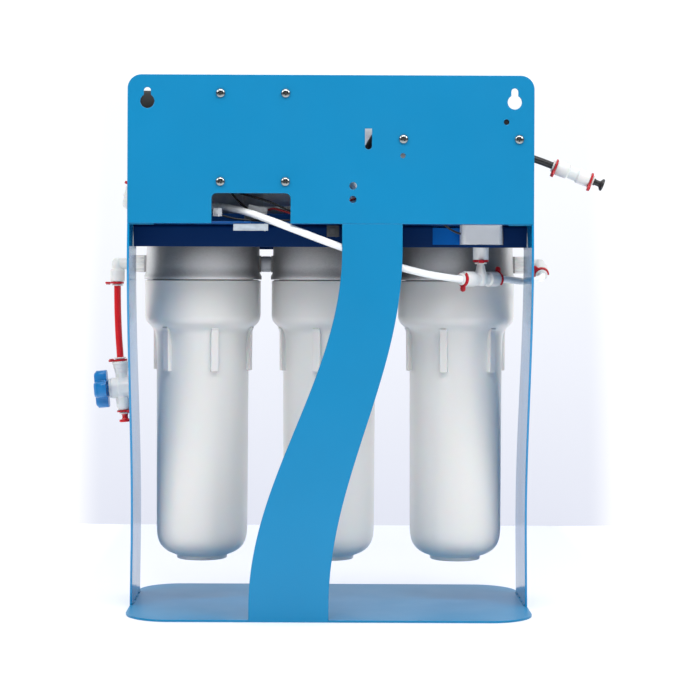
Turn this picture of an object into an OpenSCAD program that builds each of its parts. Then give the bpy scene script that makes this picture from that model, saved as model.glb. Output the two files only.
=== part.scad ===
// Frame-mounted reverse osmosis water unit: three filter housings hang from a
// folded sheet-metal stand, and the pump, membrane and post filter sit on its shelf.
// Frame: +X to the right seen from the wall side, -Y towards the wall, +Z up.
// The origin is the middle of the base's underside.

/* [Stand] */
// Width of the shelf and the back plate
frame_w = 350; // [346:1:354]
// Width of the base
base_w = 357; // [353:1:361]
// Depth of the base
base_d = 200; // [196:1:210]
// Height of the whole unit
frame_h = 471; // [471:1:480]
// Thickness of the folded sheet
sheet = 2; // [1.5:0.5:2]
// Corner radius of the base
base_corner_r = 40; // [20:1:50]
// Height of the back plate
plate_h = 128; // [128:1:130]
// Corner radius of the back plate
plate_corner_r = 12; // [4:1:16]

/* [Filter housings] */
// Distance between two housings
housing_pitch = 116; // [114:1:117]
// Outer radius of a head and a bowl collar
collar_r = 53; // [50:0.5:53]
// Outer radius of a bowl's body
bowl_r = 42.2; // [41:0.1:44]
// Height of the seam between head and bowl
seam_z = 294.5; // [293:0.5:296]
// Height of a bowl's foot above the floor
bowl_foot_z = 40; // [34:1:40]

/* [Tubing] */
// Outer radius of a quarter-inch tube
tube_r = 3.175; // [3:0.005:3.2]
// Radius of a push-fit fitting's barrel
barrel_r = 6.7; // [6.4:0.1:7]
// Depth of a push-fit socket
socket_depth = 14; // [12:1:15]

/* [Feed valve] */
// Lean of the feed valve on its tube, in degrees
valve_lean = 5; // [0:1:6]
// Radius of the valve's knob
knob_r = 17.4; // [14:0.1:18]

/* [Pump] */
// Radius of the pump's motor
motor_r = 45; // [40:1:45]

/* [Hidden] */
$fn = 64;
rear_y = -base_d / 2;
shelf_z = frame_h - plate_h;
fit = 0.05;
gap = 0.3;
through = 50;

// Stand: the legs' edges are S-shaped, from one height to another
leg_foot_z = 13;
leg_head_z = 320;
rear_leg_left = [-69.5, 10];
rear_leg_right = [-0.5, 62];
side_foot_z = 54;
side_head_z = 336;
side_near = [73, 0];
side_far = [154.5, 66.6];
leg_steps = 26;
shelf_front_y = 84;
shelf_lip = 14;
channel_rear_y = -64.2;
channel_drop = 19.4;
window_x = [90, 152];
window_y = [-76, -42.4];
window_rim = 2.4;
window_tab = 1.5;
cutout_x = [-102.5, -34.5];
cutout_h = 26;
cutout_r = 4.6;
notch_x = [-69, -33];
notch_d = 10;

// Wall keyholes
keyhole_x = 158;
keyhole_z = 448;
keyhole_r = 6.1;
keyslot_r = 3;
keyslot_up = 9;

// Screws through the back plate
pump_screw_x = [-95, -39];
pump_screw_z = [379, 455];
bracket_screw_x = [62.5, 162];
bracket_screw_z = 416;
screw_r = 2;
screw_head_r = 3.9;
screw_head_h = 2.6;

// Filter housings, one behind each of these centre lines
HOUSING_X = [-housing_pitch, 0, housing_pitch];
RIB_TURN = [17, -15, -18];
housing_y = 12;
head_top_z = shelf_z - sheet;
port_z = 309;
port_r = 6.5;
skirt_r = 46;
skirt_z = 268;
rib_count = 6;
head_screw_at = 19;
cartridge_foot_z = 50;
cartridge_h = 244;

// Left feed line
elbow_x = -194.5;
feed_mouth_z = 292.4;
valve_at = [-189.4, housing_y, 195.5];
valve_axis = [-sin(valve_lean), 0, cos(valve_lean)];
knob_axis = [-cos(valve_lean), 0, -sin(valve_lean)];
valve_up = 24;
valve_down = 20.5;

// Right outlet line: the tee is turned, and hangs from the pressure switch
outlet_at = [192.5, housing_y, port_z];
outlet_dir = [0, -cos(26), -sin(26)];
outlet_reach = 18;
tee_at = [133, -55, 296];
tee_dir = [cos(37), sin(37), 0];
tee_half = 19.5;
switch_mouth_z = 313;
switch_z = 326.4;

// Pump, on a horizontal axis in front of the back plate
pump_y = -45;
pump_z = 417;
motor_x = [-165, -75];
pump_end_x = -12;
shaft_r = 4;
pump_in_at = [-24, pump_y, 358];
pump_out_at = [8, pump_y, 430];
pump_reach = 18;

// Membrane housing and post filter, one above the other
membrane_y = 38;
membrane_z = 385;
membrane_r = 29;
membrane_x = [-160, 122];
brine_at = [-186.5, 27, 365];
brine_dir = unit([1, 0, 3]);
membrane_in_at = [168, membrane_y, membrane_z];
end_elbow_x = -172;
end_reach = 16;
filter_z = 442.5;
filter_r = 25.5;
filter_x = [-138, 104];
CLIP_X = [-70, 62];
product_at = [134, membrane_y, filter_z];

// Drain valve and its tube to the outside
drain_valve_at = [118, -66, 409];
drain_half = 21;
link_lean = 21;
link_at = [213.2, -60, 389.2];
link_dir = [cos(link_lean), 0, -sin(link_lean)];
link_half = 15.5;

// Mouths of the push-fit fittings: the place and the way a tube leaves
MOUTHS = [
    [[elbow_x, housing_y, feed_mouth_z], [0, 0, -1]],
    [valve_at + valve_up * valve_axis, valve_axis],
    [valve_at - valve_down * valve_axis, -valve_axis],
    [outlet_at + outlet_reach * outlet_dir, outlet_dir],
    [tee_at - tee_half * tee_dir, -tee_dir],
    [tee_at + tee_half * tee_dir, tee_dir],
    [[tee_at.x, tee_at.y, switch_mouth_z], [0, 0, -1]],
    [pump_in_at + [0, pump_reach, 0], [0, 1, 0]],
    [pump_out_at - [0, 0, pump_reach], [0, 0, -1]],
    [membrane_in_at - [0, pump_reach, 0], [0, -1, 0]],
    [[end_elbow_x, membrane_y, membrane_z + end_reach], [0, 0, 1]],
    [[end_elbow_x, membrane_y, filter_z - end_reach], [0, 0, -1]],
    [brine_at + end_reach * brine_dir, brine_dir],
    [drain_valve_at - [drain_half, 0, 0], [-1, 0, 0]],
    [drain_valve_at + [drain_half, 0, 0], [1, 0, 0]],
    [product_at + [19, 0, 0], [1, 0, 0]]
];
LINK_MOUTHS = [
    [link_at - link_half * link_dir, -link_dir],
    [link_at + link_half * link_dir, link_dir]
];

// Routes of the tubes, from one socket to the next
FEED_ROUTE = [
    [-194.5, 12, 305], [-194.5, 12, 296], [-194.5, 12, 286], [-194.4, 12, 275],
    [-194.1, 12, 263], [-193.6, 12, 251], [-192.9, 12, 239], [-192.1, 12, 228.4],
    [-191.4, 12, 218.5], [-190.4, 12, 206.9]
];
OUTLET_ROUTE = [
    [192.5, 7.5, 306.8], [192.5, -0.6, 302.9], [192.5, -7.8, 299.4], [190.8, -13.6, 297],
    [186.2, -18.2, 295.4], [180, -21.8, 294.4], [172, -25.6, 294.3], [164.4, -30.8, 295],
    [158, -35.8, 295.7], [152.2, -40.6, 296], [145.8, -45.4, 296], [139.4, -50.2, 296]
];
WHITE_ROUTE = [
    [126.6, -59.8, 296], [120.2, -64.6, 296], [113.8, -69.4, 296], [105, -75, 296.9],
    [95, -79.6, 298.3], [84, -83.6, 300.2], [70, -88, 303.4], [56, -91.4, 307.2], [40, -93.6, 312.5],
    [22, -94, 318.6], [6, -94, 324.2], [-12, -94, 330.8], [-29, -94, 337.4],
    [-45, -93.4, 343.4], [-59, -91.4, 348.6], [-72, -86.2, 353], [-84, -77.4, 356.2],
    [-96, -67, 358.4], [-108, -56, 359.2], [-117, -43, 359], [-120.5, -28, 358.6],
    [-118, -14, 358.4], [-110, -2, 358.4], [-98, 4.6, 358.4], [-84, 7, 358.4],
    [-70, 7, 358.4], [-57, 5, 358.3], [-45, 0.8, 358.2], [-35, -5.2, 358.1],
    [-27.6, -13, 358], [-24, -22.6, 358], [-24, -30, 358], [-24, -38, 358]
];
PRESSURE_ROUTE = [
    [8, -45, 423], [8, -45, 415], [8, -45, 407.5], [9.6, -45.4, 398.8], [13, -46.2, 390.6],
    [17.6, -47, 382.8], [21, -47.2, 374.6], [24.4, -46.6, 366.4], [30, -45, 359.4],
    [38.4, -43, 354.8], [49, -40.4, 352.6], [61, -37.2, 352.4], [75, -33.4, 354.4],
    [90, -29.4, 358.4], [105, -25, 363.8], [120, -20.6, 369.6], [134, -15.8, 375.4],
    [147, -9.8, 380.4], [158, -2.6, 383.8], [165, 6.4, 385], [168, 15.6, 385], [168, 23, 385],
    [168, 31, 385]
];
PERMEATE_ROUTE = [[-172, 38, 389], [-172, 38, 402], [-172, 38, 413.7], [-172, 38, 425], [-172, 38, 438]];
BRINE_ROUTE = [
    [-185.2, 27, 368.8], [-182.7, 27, 376.4], [-180, 27, 384.5], [-177.4, 26.4, 392.6],
    [-174, 24.6, 400.4], [-169, 21.4, 407.6], [-161.6, 17.2, 414], [-152, 12.8, 418.8],
    [-140, 9.2, 422], [-126, 7.4, 423.6], [-110, 7, 424], [-94, 7, 424], [-76, 7, 424],
    [-58, 7, 424], [-40, 7, 424], [-24, 5.5, 421.6], [-10, 1.5, 415], [2, -5, 408],
    [12, -12.5, 403.6], [21, -20.5, 403], [28.5, -28, 407], [34.5, -35, 414.6],
    [39, -40.6, 422.2], [45, -46, 427.6], [53, -51.4, 429.4], [62, -56.4, 427.2],
    [70, -60.2, 421.8], [77, -63, 415.6], [85, -65.2, 410.8], [93, -66, 409], [101, -66, 409],
    [109, -66, 409]
];
DRAIN_ROUTE = [
    [127, -66, 409], [135, -66, 409], [143, -66, 409], [153, -65, 408.2], [164, -63.2, 406.2],
    [175, -61.4, 403.2], [186, -60.3, 399.6], [196, -60, 395.8], [203.9, -60, 392.8],
    [210.6, -60, 390.2]
];

// Routes of the electric leads, and the blocks that join them
lead_r = 1;
MOTOR_LEAD = [
    [-82, -60, 373.5], [-80, -66, 371], [-75, -74, 369], [-67, -79.6, 366.6], [-57, -82.6, 363.6],
    [-47, -83, 359.8], [-38, -82.6, 356], [-28, -81, 352.4], [-14, -79, 351.4], [4, -77, 352],
    [24, -76, 351.4], [46, -75.4, 350], [66, -74.6, 349.6], [80, -73.4, 350.4], [91, -72.6, 348.4],
    [98, -72, 344.6], [103.5, -71.8, 340.4], [108.6, -70, 337.4], [114, -67, 335.6]
];
BLOCK_LEAD = [
    [-88, -60, 373.5], [-86, -66, 370], [-83, -72.6, 366], [-79, -76.6, 362], [-75.6, -78, 358.6],
    [-72, -78, 356.8]
];
VALVE_LEAD = [
    [-54.4, -78, 355.4], [-49.6, -80, 356.6], [-44, -82.4, 355.3], [-38, -83.6, 353.4], [-32, -84.4, 351.9],
    [-20, -85, 351], [-8, -85.5, 352.6], [6, -86, 358], [19, -86.4, 364.4], [34, -86.4, 369.5],
    [52, -86, 373], [68, -85, 377], [82, -83, 384], [91, -80.6, 395], [96, -78, 407],
    [99, -75, 418], [101.8, -72, 425.4], [103.7, -70, 428]
];
SWITCH_LEAD = [
    [134, -4.2, 442.5], [134.4, -14, 442.8], [137, -32, 441.4], [142, -54, 438], [147, -74, 434.6],
    [150.4, -85, 432.8], [152.4, -89.6, 430.6], [149, -89.7, 427.6], [143, -87, 427],
    [137.4, -81, 429.6], [132.4, -74, 432.6]
];
SHELF_LEAD = [
    [-96, -86, 351], [-88, -86, 348.6], [-78, -86, 346.8], [-62, -86.6, 346.1], [-46, -87, 346.1],
    [-30, -87, 346.1], [-14, -86.4, 346.1], [-2, -82, 346.6], [4, -74, 348.6]
];
lead_block_at = [-63.5, -77.5, 355];
lead_block = [17, 7, 7];
lead_block_lean = 12;
small_block_at = [-98, -86, 353];
small_block = [8, 6, 7];
lead_clip_at = [152, -94.3, 432];
lead_clip = [14, 7, 12];
edge_guard_at = [-68.8, -95, 339.8];
edge_guard = [30, 5, 5.8];
cable_clamp_at = [2.2, -91, 336.9];
cable_clamp = [11, 6, 9.6];

// ---------- shapes that repeat ----------

function s_step(t) = (1 - cos(180 * min(1, max(0, t)))) / 2;

function s_edge(z, ends, low, high) = ends[0] + (ends[1] - ends[0]) * s_step((z - low) / (high - low));

function edge_point(z, ends, low, high) = [s_edge(z, ends, low, high), z];

// Outline of an S-shaped leg between two edges, from one height to another
function leg_outline(near, far, low, high, bottom, top) = concat(
    [for (i = [0 : leg_steps]) edge_point(bottom + (top - bottom) * i / leg_steps, near, low, high)],
    [for (i = [leg_steps : -1 : 0]) edge_point(bottom + (top - bottom) * i / leg_steps, far, low, high)]
);

function unit(v) = v / norm(v);

function heading(p, i) = unit(p[min(i + 1, len(p) - 1)] - p[max(i - 1, 0)]);

// Vector v carried round as direction a turns to direction b
function carried(v, a, b) = let (w = cross(a, b)) v * (a * b) + cross(w, v) + w * (w * v) / (1 + a * b);

function side_of(p, i) = i == 0
    ? unit(cross(heading(p, 0), [0.3, 1, 0.2]))
    : carried(side_of(p, i - 1), heading(p, i - 1), heading(p, i));

// A round tube of radius r along the points p
module swept_tube(p, r, sides) {
    rings = len(p);
    points = [
        for (i = [0 : rings - 1])
        let (t = heading(p, i), u = unit(side_of(p, i)), v = cross(t, u))
        for (k = [0 : sides - 1])
        p[i] + r * (cos(360 * k / sides) * u + sin(360 * k / sides) * v)
    ];
    walls = [
        for (i = [0 : rings - 2])
        for (k = [0 : sides - 1])
        let (a = i * sides + k, b = i * sides + (k + 1) % sides)
        each [[a, a + sides, b], [b, a + sides, b + sides]]
    ];
    start = [[for (k = [0 : sides - 1]) k]];
    end = [[for (k = [sides - 1 : -1 : 0]) (rings - 1) * sides + k]];
    polyhedron(points = points, faces = concat(start, walls, end), convexity = 10);
}

// Puts local +Z along v, with the origin at p
module aim(p, v) {
    translate(p)
        rotate([0, acos(v.z / norm(v)), atan2(v.y, v.x)])
            children();
}

module ring(outer, inner, h) {
    difference() {
        cylinder(h = h, r = outer);
        translate([0, 0, -1]) cylinder(h = h + 2, r = inner);
    }
}

module rounded_box(low, high, r) {
    size = high - low;
    translate(low + [r, r, 0])
        linear_extrude(size.z)
            rounded_rect(size.x - 2 * r, size.y - 2 * r, r);
}

// Rectangle w by h whose corners are rounded outwards by r
module rounded_rect(w, h, r) {
    translate([-r, 0]) square([w + 2 * r, h]);
    translate([0, -r]) square([w, h + 2 * r]);
    for (x = [0, w])
        for (y = [0, h])
            translate([x, y]) circle(r);
}

// Barrel of a push-fit fitting: from the origin along local +Z to its mouth
module barrel(reach) {
    cylinder(h = reach - 11, r = barrel_r - 1.2);
    translate([0, 0, reach - 11]) cylinder(h = 11, r = barrel_r);
}

// The socket that a barrel holds: tube bore and collet recess
module socket(reach) {
    translate([0, 0, reach - socket_depth]) cylinder(h = socket_depth + 1, r = tube_r + fit);
    translate([0, 0, reach - 3]) cylinder(h = 4, r = 4.15);
}

// An elbow whose threaded arm points along a and whose mouth points along b
module elbow(c, a, arm, b, reach) {
    difference() {
        union() {
            translate(c) sphere(barrel_r - 1.1);
            aim(c, a) cylinder(h = arm, r = barrel_r - 1.5);
            aim(c + (arm - 11) * a, a) cylinder(h = 11, r = 7.8);
            aim(c + arm * a, a) cylinder(h = 10, r = port_r - fit);
            aim(c, b) barrel(reach);
        }
        aim(c, b) socket(reach);
        aim(c, a) translate([0, 0, 2]) cylinder(h = arm + 10, r = 2.4);
    }
}

// Pan-head screw along local +Z: the head stands out below the origin
module pan_screw(length) {
    translate([0, 0, -screw_head_h])
        difference() {
            union() {
                cylinder(h = 1, r1 = screw_head_r - 0.9, r2 = screw_head_r);
                translate([0, 0, 1]) cylinder(h = screw_head_h - 1, r = screw_head_r);
            }
            for (turn = [0, 90])
                rotate([0, 0, turn])
                    translate([-2.2, -0.45, -1])
                        cube([4.4, 0.9, 2.4]);
        }
    cylinder(h = length, r = screw_r);
}

// ---------- stand ----------

module base_plate() {
    color("#1f8fce")
        difference() {
            rounded_box([-base_w / 2, rear_y, 0], [base_w / 2, -rear_y, sheet], base_corner_r);
            translate([rear_leg_left[0], rear_y - 1, -1])
                cube([rear_leg_right[0] - rear_leg_left[0], sheet + 1, sheet + 2]);
        }
}

module rear_leg() {
    color("#1f8fce")
        translate([0, rear_y + sheet, 0])
            rotate([90, 0, 0])
                linear_extrude(sheet)
                    polygon(leg_outline(rear_leg_left, rear_leg_right, leg_foot_z, leg_head_z, 0, shelf_z));
}

// One side leg, on the +X side; it leans in a little towards the top
module side_leg() {
    rise = shelf_z - sheet;
    side = leg_outline(side_near, side_far, side_foot_z, side_head_z, sheet, shelf_z - 0.06);
    lean = atan((base_w - frame_w) / 2 / rise);
    translate([base_w / 2, 0, sheet + 0.02])
        rotate([0, -lean, 0])
            translate([-sheet, rear_y, 0])
                rotate([90, 0, 90])
                    linear_extrude(sheet)
                        translate([0, -sheet])
                            polygon(side);
}

module left_leg() {
    color("#1f8fce") mirror([1, 0, 0]) side_leg();
}

module right_leg() {
    color("#1f8fce") side_leg();
}

module shelf() {
    color("#1b7fc0")
        difference() {
            union() {
                translate([-frame_w / 2, rear_y + sheet, shelf_z])
                    cube([frame_w, shelf_front_y - rear_y - sheet, sheet]);
                translate([-frame_w / 2, shelf_front_y - sheet, shelf_z])
                    cube([frame_w, sheet, sheet + shelf_lip]);
            }
            translate([window_x[0], window_y[0], shelf_z - 1])
                cube([window_x[1] - window_x[0], window_y[1] - window_y[0], sheet + 2]);
            translate([notch_x[0], rear_y, shelf_z - 1])
                cube([notch_x[1] - notch_x[0], sheet + notch_d, sheet + 2]);
            head_screw_places() translate([0, 0, -through]) cylinder(h = 2 * through, r = screw_r + 0.1);
        }
}

module keyhole() {
    circle(keyhole_r);
    translate([-keyslot_r, 0]) square([2 * keyslot_r, keyslot_up]);
    translate([0, keyslot_up]) circle(keyslot_r);
}

// Outline of the back plate with its openings, drawn in X and Z
module plate_outline() {
    difference() {
        union() {
            translate([-frame_w / 2 + plate_corner_r, shelf_z + plate_corner_r])
                rounded_rect(frame_w - 2 * plate_corner_r, plate_h - 2 * plate_corner_r, plate_corner_r);
            translate([-frame_w / 2, shelf_z]) square([frame_w, 2 * plate_corner_r]);
        }
        for (x = [-keyhole_x, keyhole_x])
            translate([x, keyhole_z]) keyhole();
        for (x = pump_screw_x)
            for (z = pump_screw_z)
                translate([x, z]) circle(screw_r + 0.1);
        for (x = bracket_screw_x)
            translate([x, bracket_screw_z]) circle(screw_r + 0.1);
        translate([cutout_x[0], shelf_z - 1])
            square([cutout_x[1] - cutout_x[0], cutout_h + 1 - cutout_r]);
        translate([cutout_x[0] + cutout_r, shelf_z + 5])
            rounded_rect(cutout_x[1] - cutout_x[0] - 2 * cutout_r, cutout_h - 5 - cutout_r, cutout_r);
        translate([151, 431]) circle(2.4);
        translate([62, 401.8]) circle(2.2);
        translate([19.3, 375.7]) circle(3.2);
        translate([19.1, 364]) circle(3);
        translate([29.3, 410]) square([6, 15]);
        translate([32.3, 410]) circle(3);
    }
}

module back_plate() {
    color("#2a97d3")
        translate([0, rear_y + sheet, 0])
            rotate([90, 0, 0])
                linear_extrude(sheet)
                    plate_outline();
}

module filter_channel() {
    half = frame_w / 2 - sheet - 0.3;
    color("#0c3f78")
        difference() {
            union() {
                translate([-half, channel_rear_y, shelf_z - sheet])
                    cube([2 * half, shelf_front_y - channel_rear_y, sheet]);
                for (y = [channel_rear_y, shelf_front_y - sheet])
                    translate([-half, y, shelf_z - channel_drop])
                        cube([2 * half, sheet, channel_drop]);
                translate([window_x[0], window_y[1], shelf_z - channel_drop + window_rim])
                    cube([window_x[1] - window_x[0], window_tab, channel_drop - window_rim - sheet / 2]);
            }
            translate([window_x[0], channel_rear_y - 1, shelf_z - channel_drop + window_rim])
                cube([window_x[1] - window_x[0], window_y[1] - channel_rear_y + 1, channel_drop]);
            head_screw_places() translate([0, 0, -through]) cylinder(h = 2 * through, r = screw_r + 0.1);
        }
}

// ---------- screws ----------

module pump_screws() {
    color("silver")
        for (x = pump_screw_x)
            for (z = pump_screw_z)
                aim([x, rear_y, z], [0, 1, 0]) pan_screw(12);
}

module bracket_screws() {
    color("silver")
        for (x = bracket_screw_x)
            aim([x, rear_y, bracket_screw_z], [0, 1, 0]) pan_screw(8);
}

// Local +Z points down into each head from the shelf's top
module head_screw_places() {
    for (x = HOUSING_X)
        for (dx = [-head_screw_at, head_screw_at])
            for (dy = [-head_screw_at, head_screw_at])
                translate([x + dx, housing_y + dy, shelf_z + sheet])
                    rotate([180, 0, 0])
                        children();
}

module head_screws() {
    color("silver") head_screw_places() pan_screw(16);
}

// ---------- filter housings ----------

module housing_place(i) {
    translate([HOUSING_X[i], housing_y, 0]) children();
}

module head(i) {
    color("#e4e7ea")
        housing_place(i)
            difference() {
                union() {
                    rotate_extrude($fn = 96)
                        polygon([
                            [0, head_top_z], [collar_r - 7, head_top_z], [collar_r - 3, head_top_z - 3],
                            [collar_r - 1.6, head_top_z - 9], [collar_r - 0.6, seam_z + 6],
                            [collar_r + 0.8, seam_z + 3.4], [collar_r + 0.8, seam_z + gap],
                            [skirt_r, seam_z + gap], [skirt_r, skirt_z], [skirt_r - 5, skirt_z],
                            [skirt_r - 5, seam_z + 6], [16, seam_z + 6], [16, seam_z + 3],
                            [12.6, seam_z + 3], [12.6, seam_z + 12], [0, seam_z + 12]
                        ]);
                    for (turn = [0, 180])
                        rotate([0, 0, turn])
                            translate([collar_r - 14, -7.6, port_z - 7.6])
                                cube([14.4, 15.2, 15.2]);
                }
                for (turn = [90, -90])
                    translate([0, 0, port_z])
                        rotate([0, turn, 0])
                            translate([0, 0, collar_r - 12])
                                cylinder(h = 20, r = port_r);
                for (turn = [90, -90])
                    translate([0, 0, port_z + 4])
                        rotate([0, turn, 0])
                            cylinder(h = collar_r - 11, r = 2.4);
                for (dx = [-head_screw_at, head_screw_at])
                    for (dy = [-head_screw_at, head_screw_at])
                        translate([dx, dy, head_top_z - 13])
                            cylinder(h = 14, r = screw_r + 0.1);
            }
}

// Bowl profile: the outer side down to the foot, then the inner side back up
module bowl(i) {
    wall = 3;
    color("#d9dde1")
        housing_place(i) {
            rotate_extrude($fn = 96)
                polygon([
                    [collar_r, seam_z], [collar_r, 262.5], [collar_r - 0.9, 259], [collar_r - 3.6, 255],
                    [collar_r - 7.4, 250.5], [bowl_r + 1, 246], [bowl_r, 242], [bowl_r - 0.7, 66],
                    [bowl_r - 1.4, 59.5], [bowl_r - 3.2, 54], [bowl_r - 6.2, 49.8], [bowl_r - 10.6, 46.4],
                    [bowl_r - 16, 44.2], [23.2, 43.4], [22.8, bowl_foot_z], [19.5, bowl_foot_z],
                    [18.5, 42.2], [0, 42.2], [0, 54], [11, 54], [12.5, 52.5], [12.5, 46.2], [25, 46.2],
                    [bowl_r - 11, 49], [bowl_r - 6.8, 53.4], [bowl_r - 4.6, 60], [bowl_r - 3.9, 66],
                    [bowl_r - wall, 238],
                    [bowl_r - wall + 0.8, 258], [bowl_r - wall + 1.4, 264], [skirt_r + gap, 264],
                    [skirt_r + gap, seam_z]
                ]);
            for (k = [0 : rib_count - 1])
                rotate([0, 0, -90 + RIB_TURN[i] + 360 * k / rib_count])
                    translate([bowl_r - 1.4, 3.4, 0])
                        rotate([90, 0, 0])
                            linear_extrude(6.8)
                                polygon([[0, 212], [5.3, 212], [5.3, 250.4], [8.8, 254.8], [0, 254.8]]);
        }
}

module o_ring(i) {
    color("#2b2b2b")
        housing_place(i)
            translate([0, 0, 266])
                rotate_extrude()
                    translate([43.6, 0]) circle(1.75, $fn = 20);
}

module cartridge(i) {
    color(["#f2f0ea", "#eceae4", "#e8e6e0"][i])
        housing_place(i)
            translate([0, 0, cartridge_foot_z]) {
                ring(31, 14, cartridge_h);
                translate([0, 0, -0.8]) ring(29, 13, 0.9);
                translate([0, 0, cartridge_h - 0.1]) ring(29, 13, 2.1);
            }
}

module nipples() {
    reach = housing_pitch / 2 - collar_r + 10;
    color("#9ea3a8")
        for (x = [HOUSING_X[0], HOUSING_X[1]])
            translate([x + housing_pitch / 2, housing_y, port_z])
                rotate([0, 90, 0])
                    difference() {
                        union() {
                            translate([0, 0, -reach]) cylinder(h = 2 * reach, r = port_r - fit);
                            translate([0, 0, -4]) cylinder(h = 8, r = 7.2);
                        }
                        translate([0, 0, -through]) cylinder(h = 2 * through, r = 3.6);
                    }
}

// ---------- feed line on the left ----------

module feed_elbow() {
    port_x = HOUSING_X[0] - collar_r - 0.4;
    color("whitesmoke")
        elbow([elbow_x, housing_y, port_z], [1, 0, 0], port_x - elbow_x, [0, 0, -1], port_z - feed_mouth_z);
}

module feed_tube() {
    color("#c1121f") swept_tube(FEED_ROUTE, tube_r, 12);
}

// Puts the valve's own axes in place: +Z along the flow, -X towards the knob
module valve_place() {
    translate(valve_at) rotate([0, -valve_lean, 0]) children();
}

module valve_body() {
    color("whitesmoke")
        valve_place()
            difference() {
                union() {
                    translate([0, 0, -valve_down]) cylinder(h = 11, r = 7);
                    translate([0, 0, 13]) cylinder(h = 11, r = 7.5);
                    translate([0, 0, -10]) cylinder(h = 24, r1 = 8.6, r2 = 6.6);
                    rotate([0, -90, 0]) translate([0, 0, -9.4]) cylinder(h = 21.4, r = 10.3);
                }
                rotate([0, -90, 0]) translate([0, 0, -7.8]) cylinder(h = 16, r = 7.8);
                rotate([0, -90, 0]) cylinder(h = 20, r = 3 + fit);
                socket(valve_up);
                mirror([0, 0, 1]) socket(valve_down);
                translate([0, 0, -12]) cylinder(h = 26, r = 2.4);
            }
}

module valve_ball() {
    color("#d8d8d8")
        valve_place()
            difference() {
                union() {
                    sphere(7.4);
                    rotate([0, -90, 0]) cylinder(h = 14.4, r = 3);
                }
                translate([0, 0, -10]) cylinder(h = 20, r = 2.4);
            }
}

// Knob with four lobes, on the end of the ball's stem
module valve_knob() {
    foot = 13.4;
    h = 11.4;
    color("#1878bd")
        valve_place()
            rotate([0, -90, 0])
                difference() {
                    union() {
                        translate([0, 0, 12.4]) cylinder(h = 3, r = 7);
                        intersection() {
                            translate([0, 0, foot]) linear_extrude(h) knob_outline();
                            union() {
                                translate([0, 0, foot - 1]) cylinder(h = h - 1.4, r = knob_r + 1);
                                translate([0, 0, foot + h - 2.4])
                                    cylinder(h = 2.4, r1 = knob_r + 1, r2 = knob_r - 3);
                            }
                        }
                    }
                    translate([0, 0, 12]) cylinder(h = 2.5, r = 3 + fit);
                }
}

module knob_outline() {
    lobe_r = 6.4;
    for (turn = [0, 90, 180, 270])
        rotate(turn)
            translate([knob_r - lobe_r, 0]) circle(lobe_r);
    for (turn = [0, 90])
        rotate(turn)
            square([2 * (knob_r - lobe_r), 2 * lobe_r], center = true);
}

// Transport plug in the valve's inlet
module feed_plug() {
    color("#c1121f")
        aim(valve_at - valve_down * valve_axis, -valve_axis) {
            translate([0, 0, -10]) cylinder(h = 20, r = tube_r - 0.02);
            translate([0, 0, 9]) cylinder(h = 2.2, r = 5.6);
        }
}

// ---------- outlet line on the right ----------

module outlet_elbow() {
    port_x = HOUSING_X[2] + collar_r + 0.4;
    color("whitesmoke")
        elbow(outlet_at, [-1, 0, 0], outlet_at.x - port_x, outlet_dir, outlet_reach);
}

module outlet_tube() {
    color("#eef0f2") swept_tube(OUTLET_ROUTE, tube_r, 12);
}

module tee() {
    color("whitesmoke")
        difference() {
            union() {
                translate(tee_at) sphere(6.6);
                for (d = [tee_dir, -tee_dir]) aim(tee_at, d) barrel(tee_half);
                translate(tee_at) cylinder(h = 12, r1 = 6, r2 = tube_r);
                translate(tee_at) cylinder(h = 28, r = tube_r - 0.02);
            }
            for (d = [tee_dir, -tee_dir]) aim(tee_at, d) socket(tee_half);
            aim(tee_at - 15 * tee_dir, tee_dir) cylinder(h = 30, r = 2.2);
            translate(tee_at) cylinder(h = 30, r = 2);
        }
}

// Low-pressure switch: a moulded block with its push-fit socket below
module pressure_switch() {
    color("#eceeef")
        difference() {
            union() {
                translate([tee_at.x, tee_at.y, switch_mouth_z])
                    cylinder(h = switch_z - switch_mouth_z + 1, r = 6.9);
                rounded_box(tee_at + [-18, -15, switch_z - tee_at.z], tee_at + [18, 11, 61], 4);
                translate([tee_at.x, tee_at.y, 357]) cylinder(h = 9, r = 13);
            }
            translate([tee_at.x, tee_at.y, switch_mouth_z]) mirror([0, 0, 1]) socket(0);
        }
}

module white_tube() {
    color("#f3f3f1") swept_tube(WHITE_ROUTE, tube_r, 10);
}

// ---------- booster pump ----------

module motor_can() {
    color("#26282b")
        translate([motor_x[0], pump_y, pump_z])
            rotate([0, 90, 0]) {
                ring(motor_r, motor_r - 3, motor_x[1] - motor_x[0]);
                for (turn = [0, 180])
                    rotate([0, 0, turn])
                        translate([0, 0, 12])
                            intersection() {
                                ring(motor_r - 2.9, motor_r - 11, 66);
                                translate([0, -28, -1]) cube([60, 56, 70]);
                            }
            }
}

module motor_end_bell() {
    color("#303337")
        translate([motor_x[0], pump_y, pump_z])
            rotate([0, -90, 0])
                difference() {
                    union() {
                        translate([0, 0, -4]) cylinder(h = 4, r = motor_r - 3 - fit);
                        cylinder(h = 4, r = motor_r);
                        translate([0, 0, 4]) cylinder(h = 3, r1 = motor_r, r2 = motor_r - 6);
                        translate([0, 0, 7]) cylinder(h = 5.5, r = 9);
                    }
                    translate([0, 0, -5]) cylinder(h = 15, r = shaft_r + fit);
                    translate([0, 0, -5]) cylinder(h = 3, r = 12);
                }
}

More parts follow.
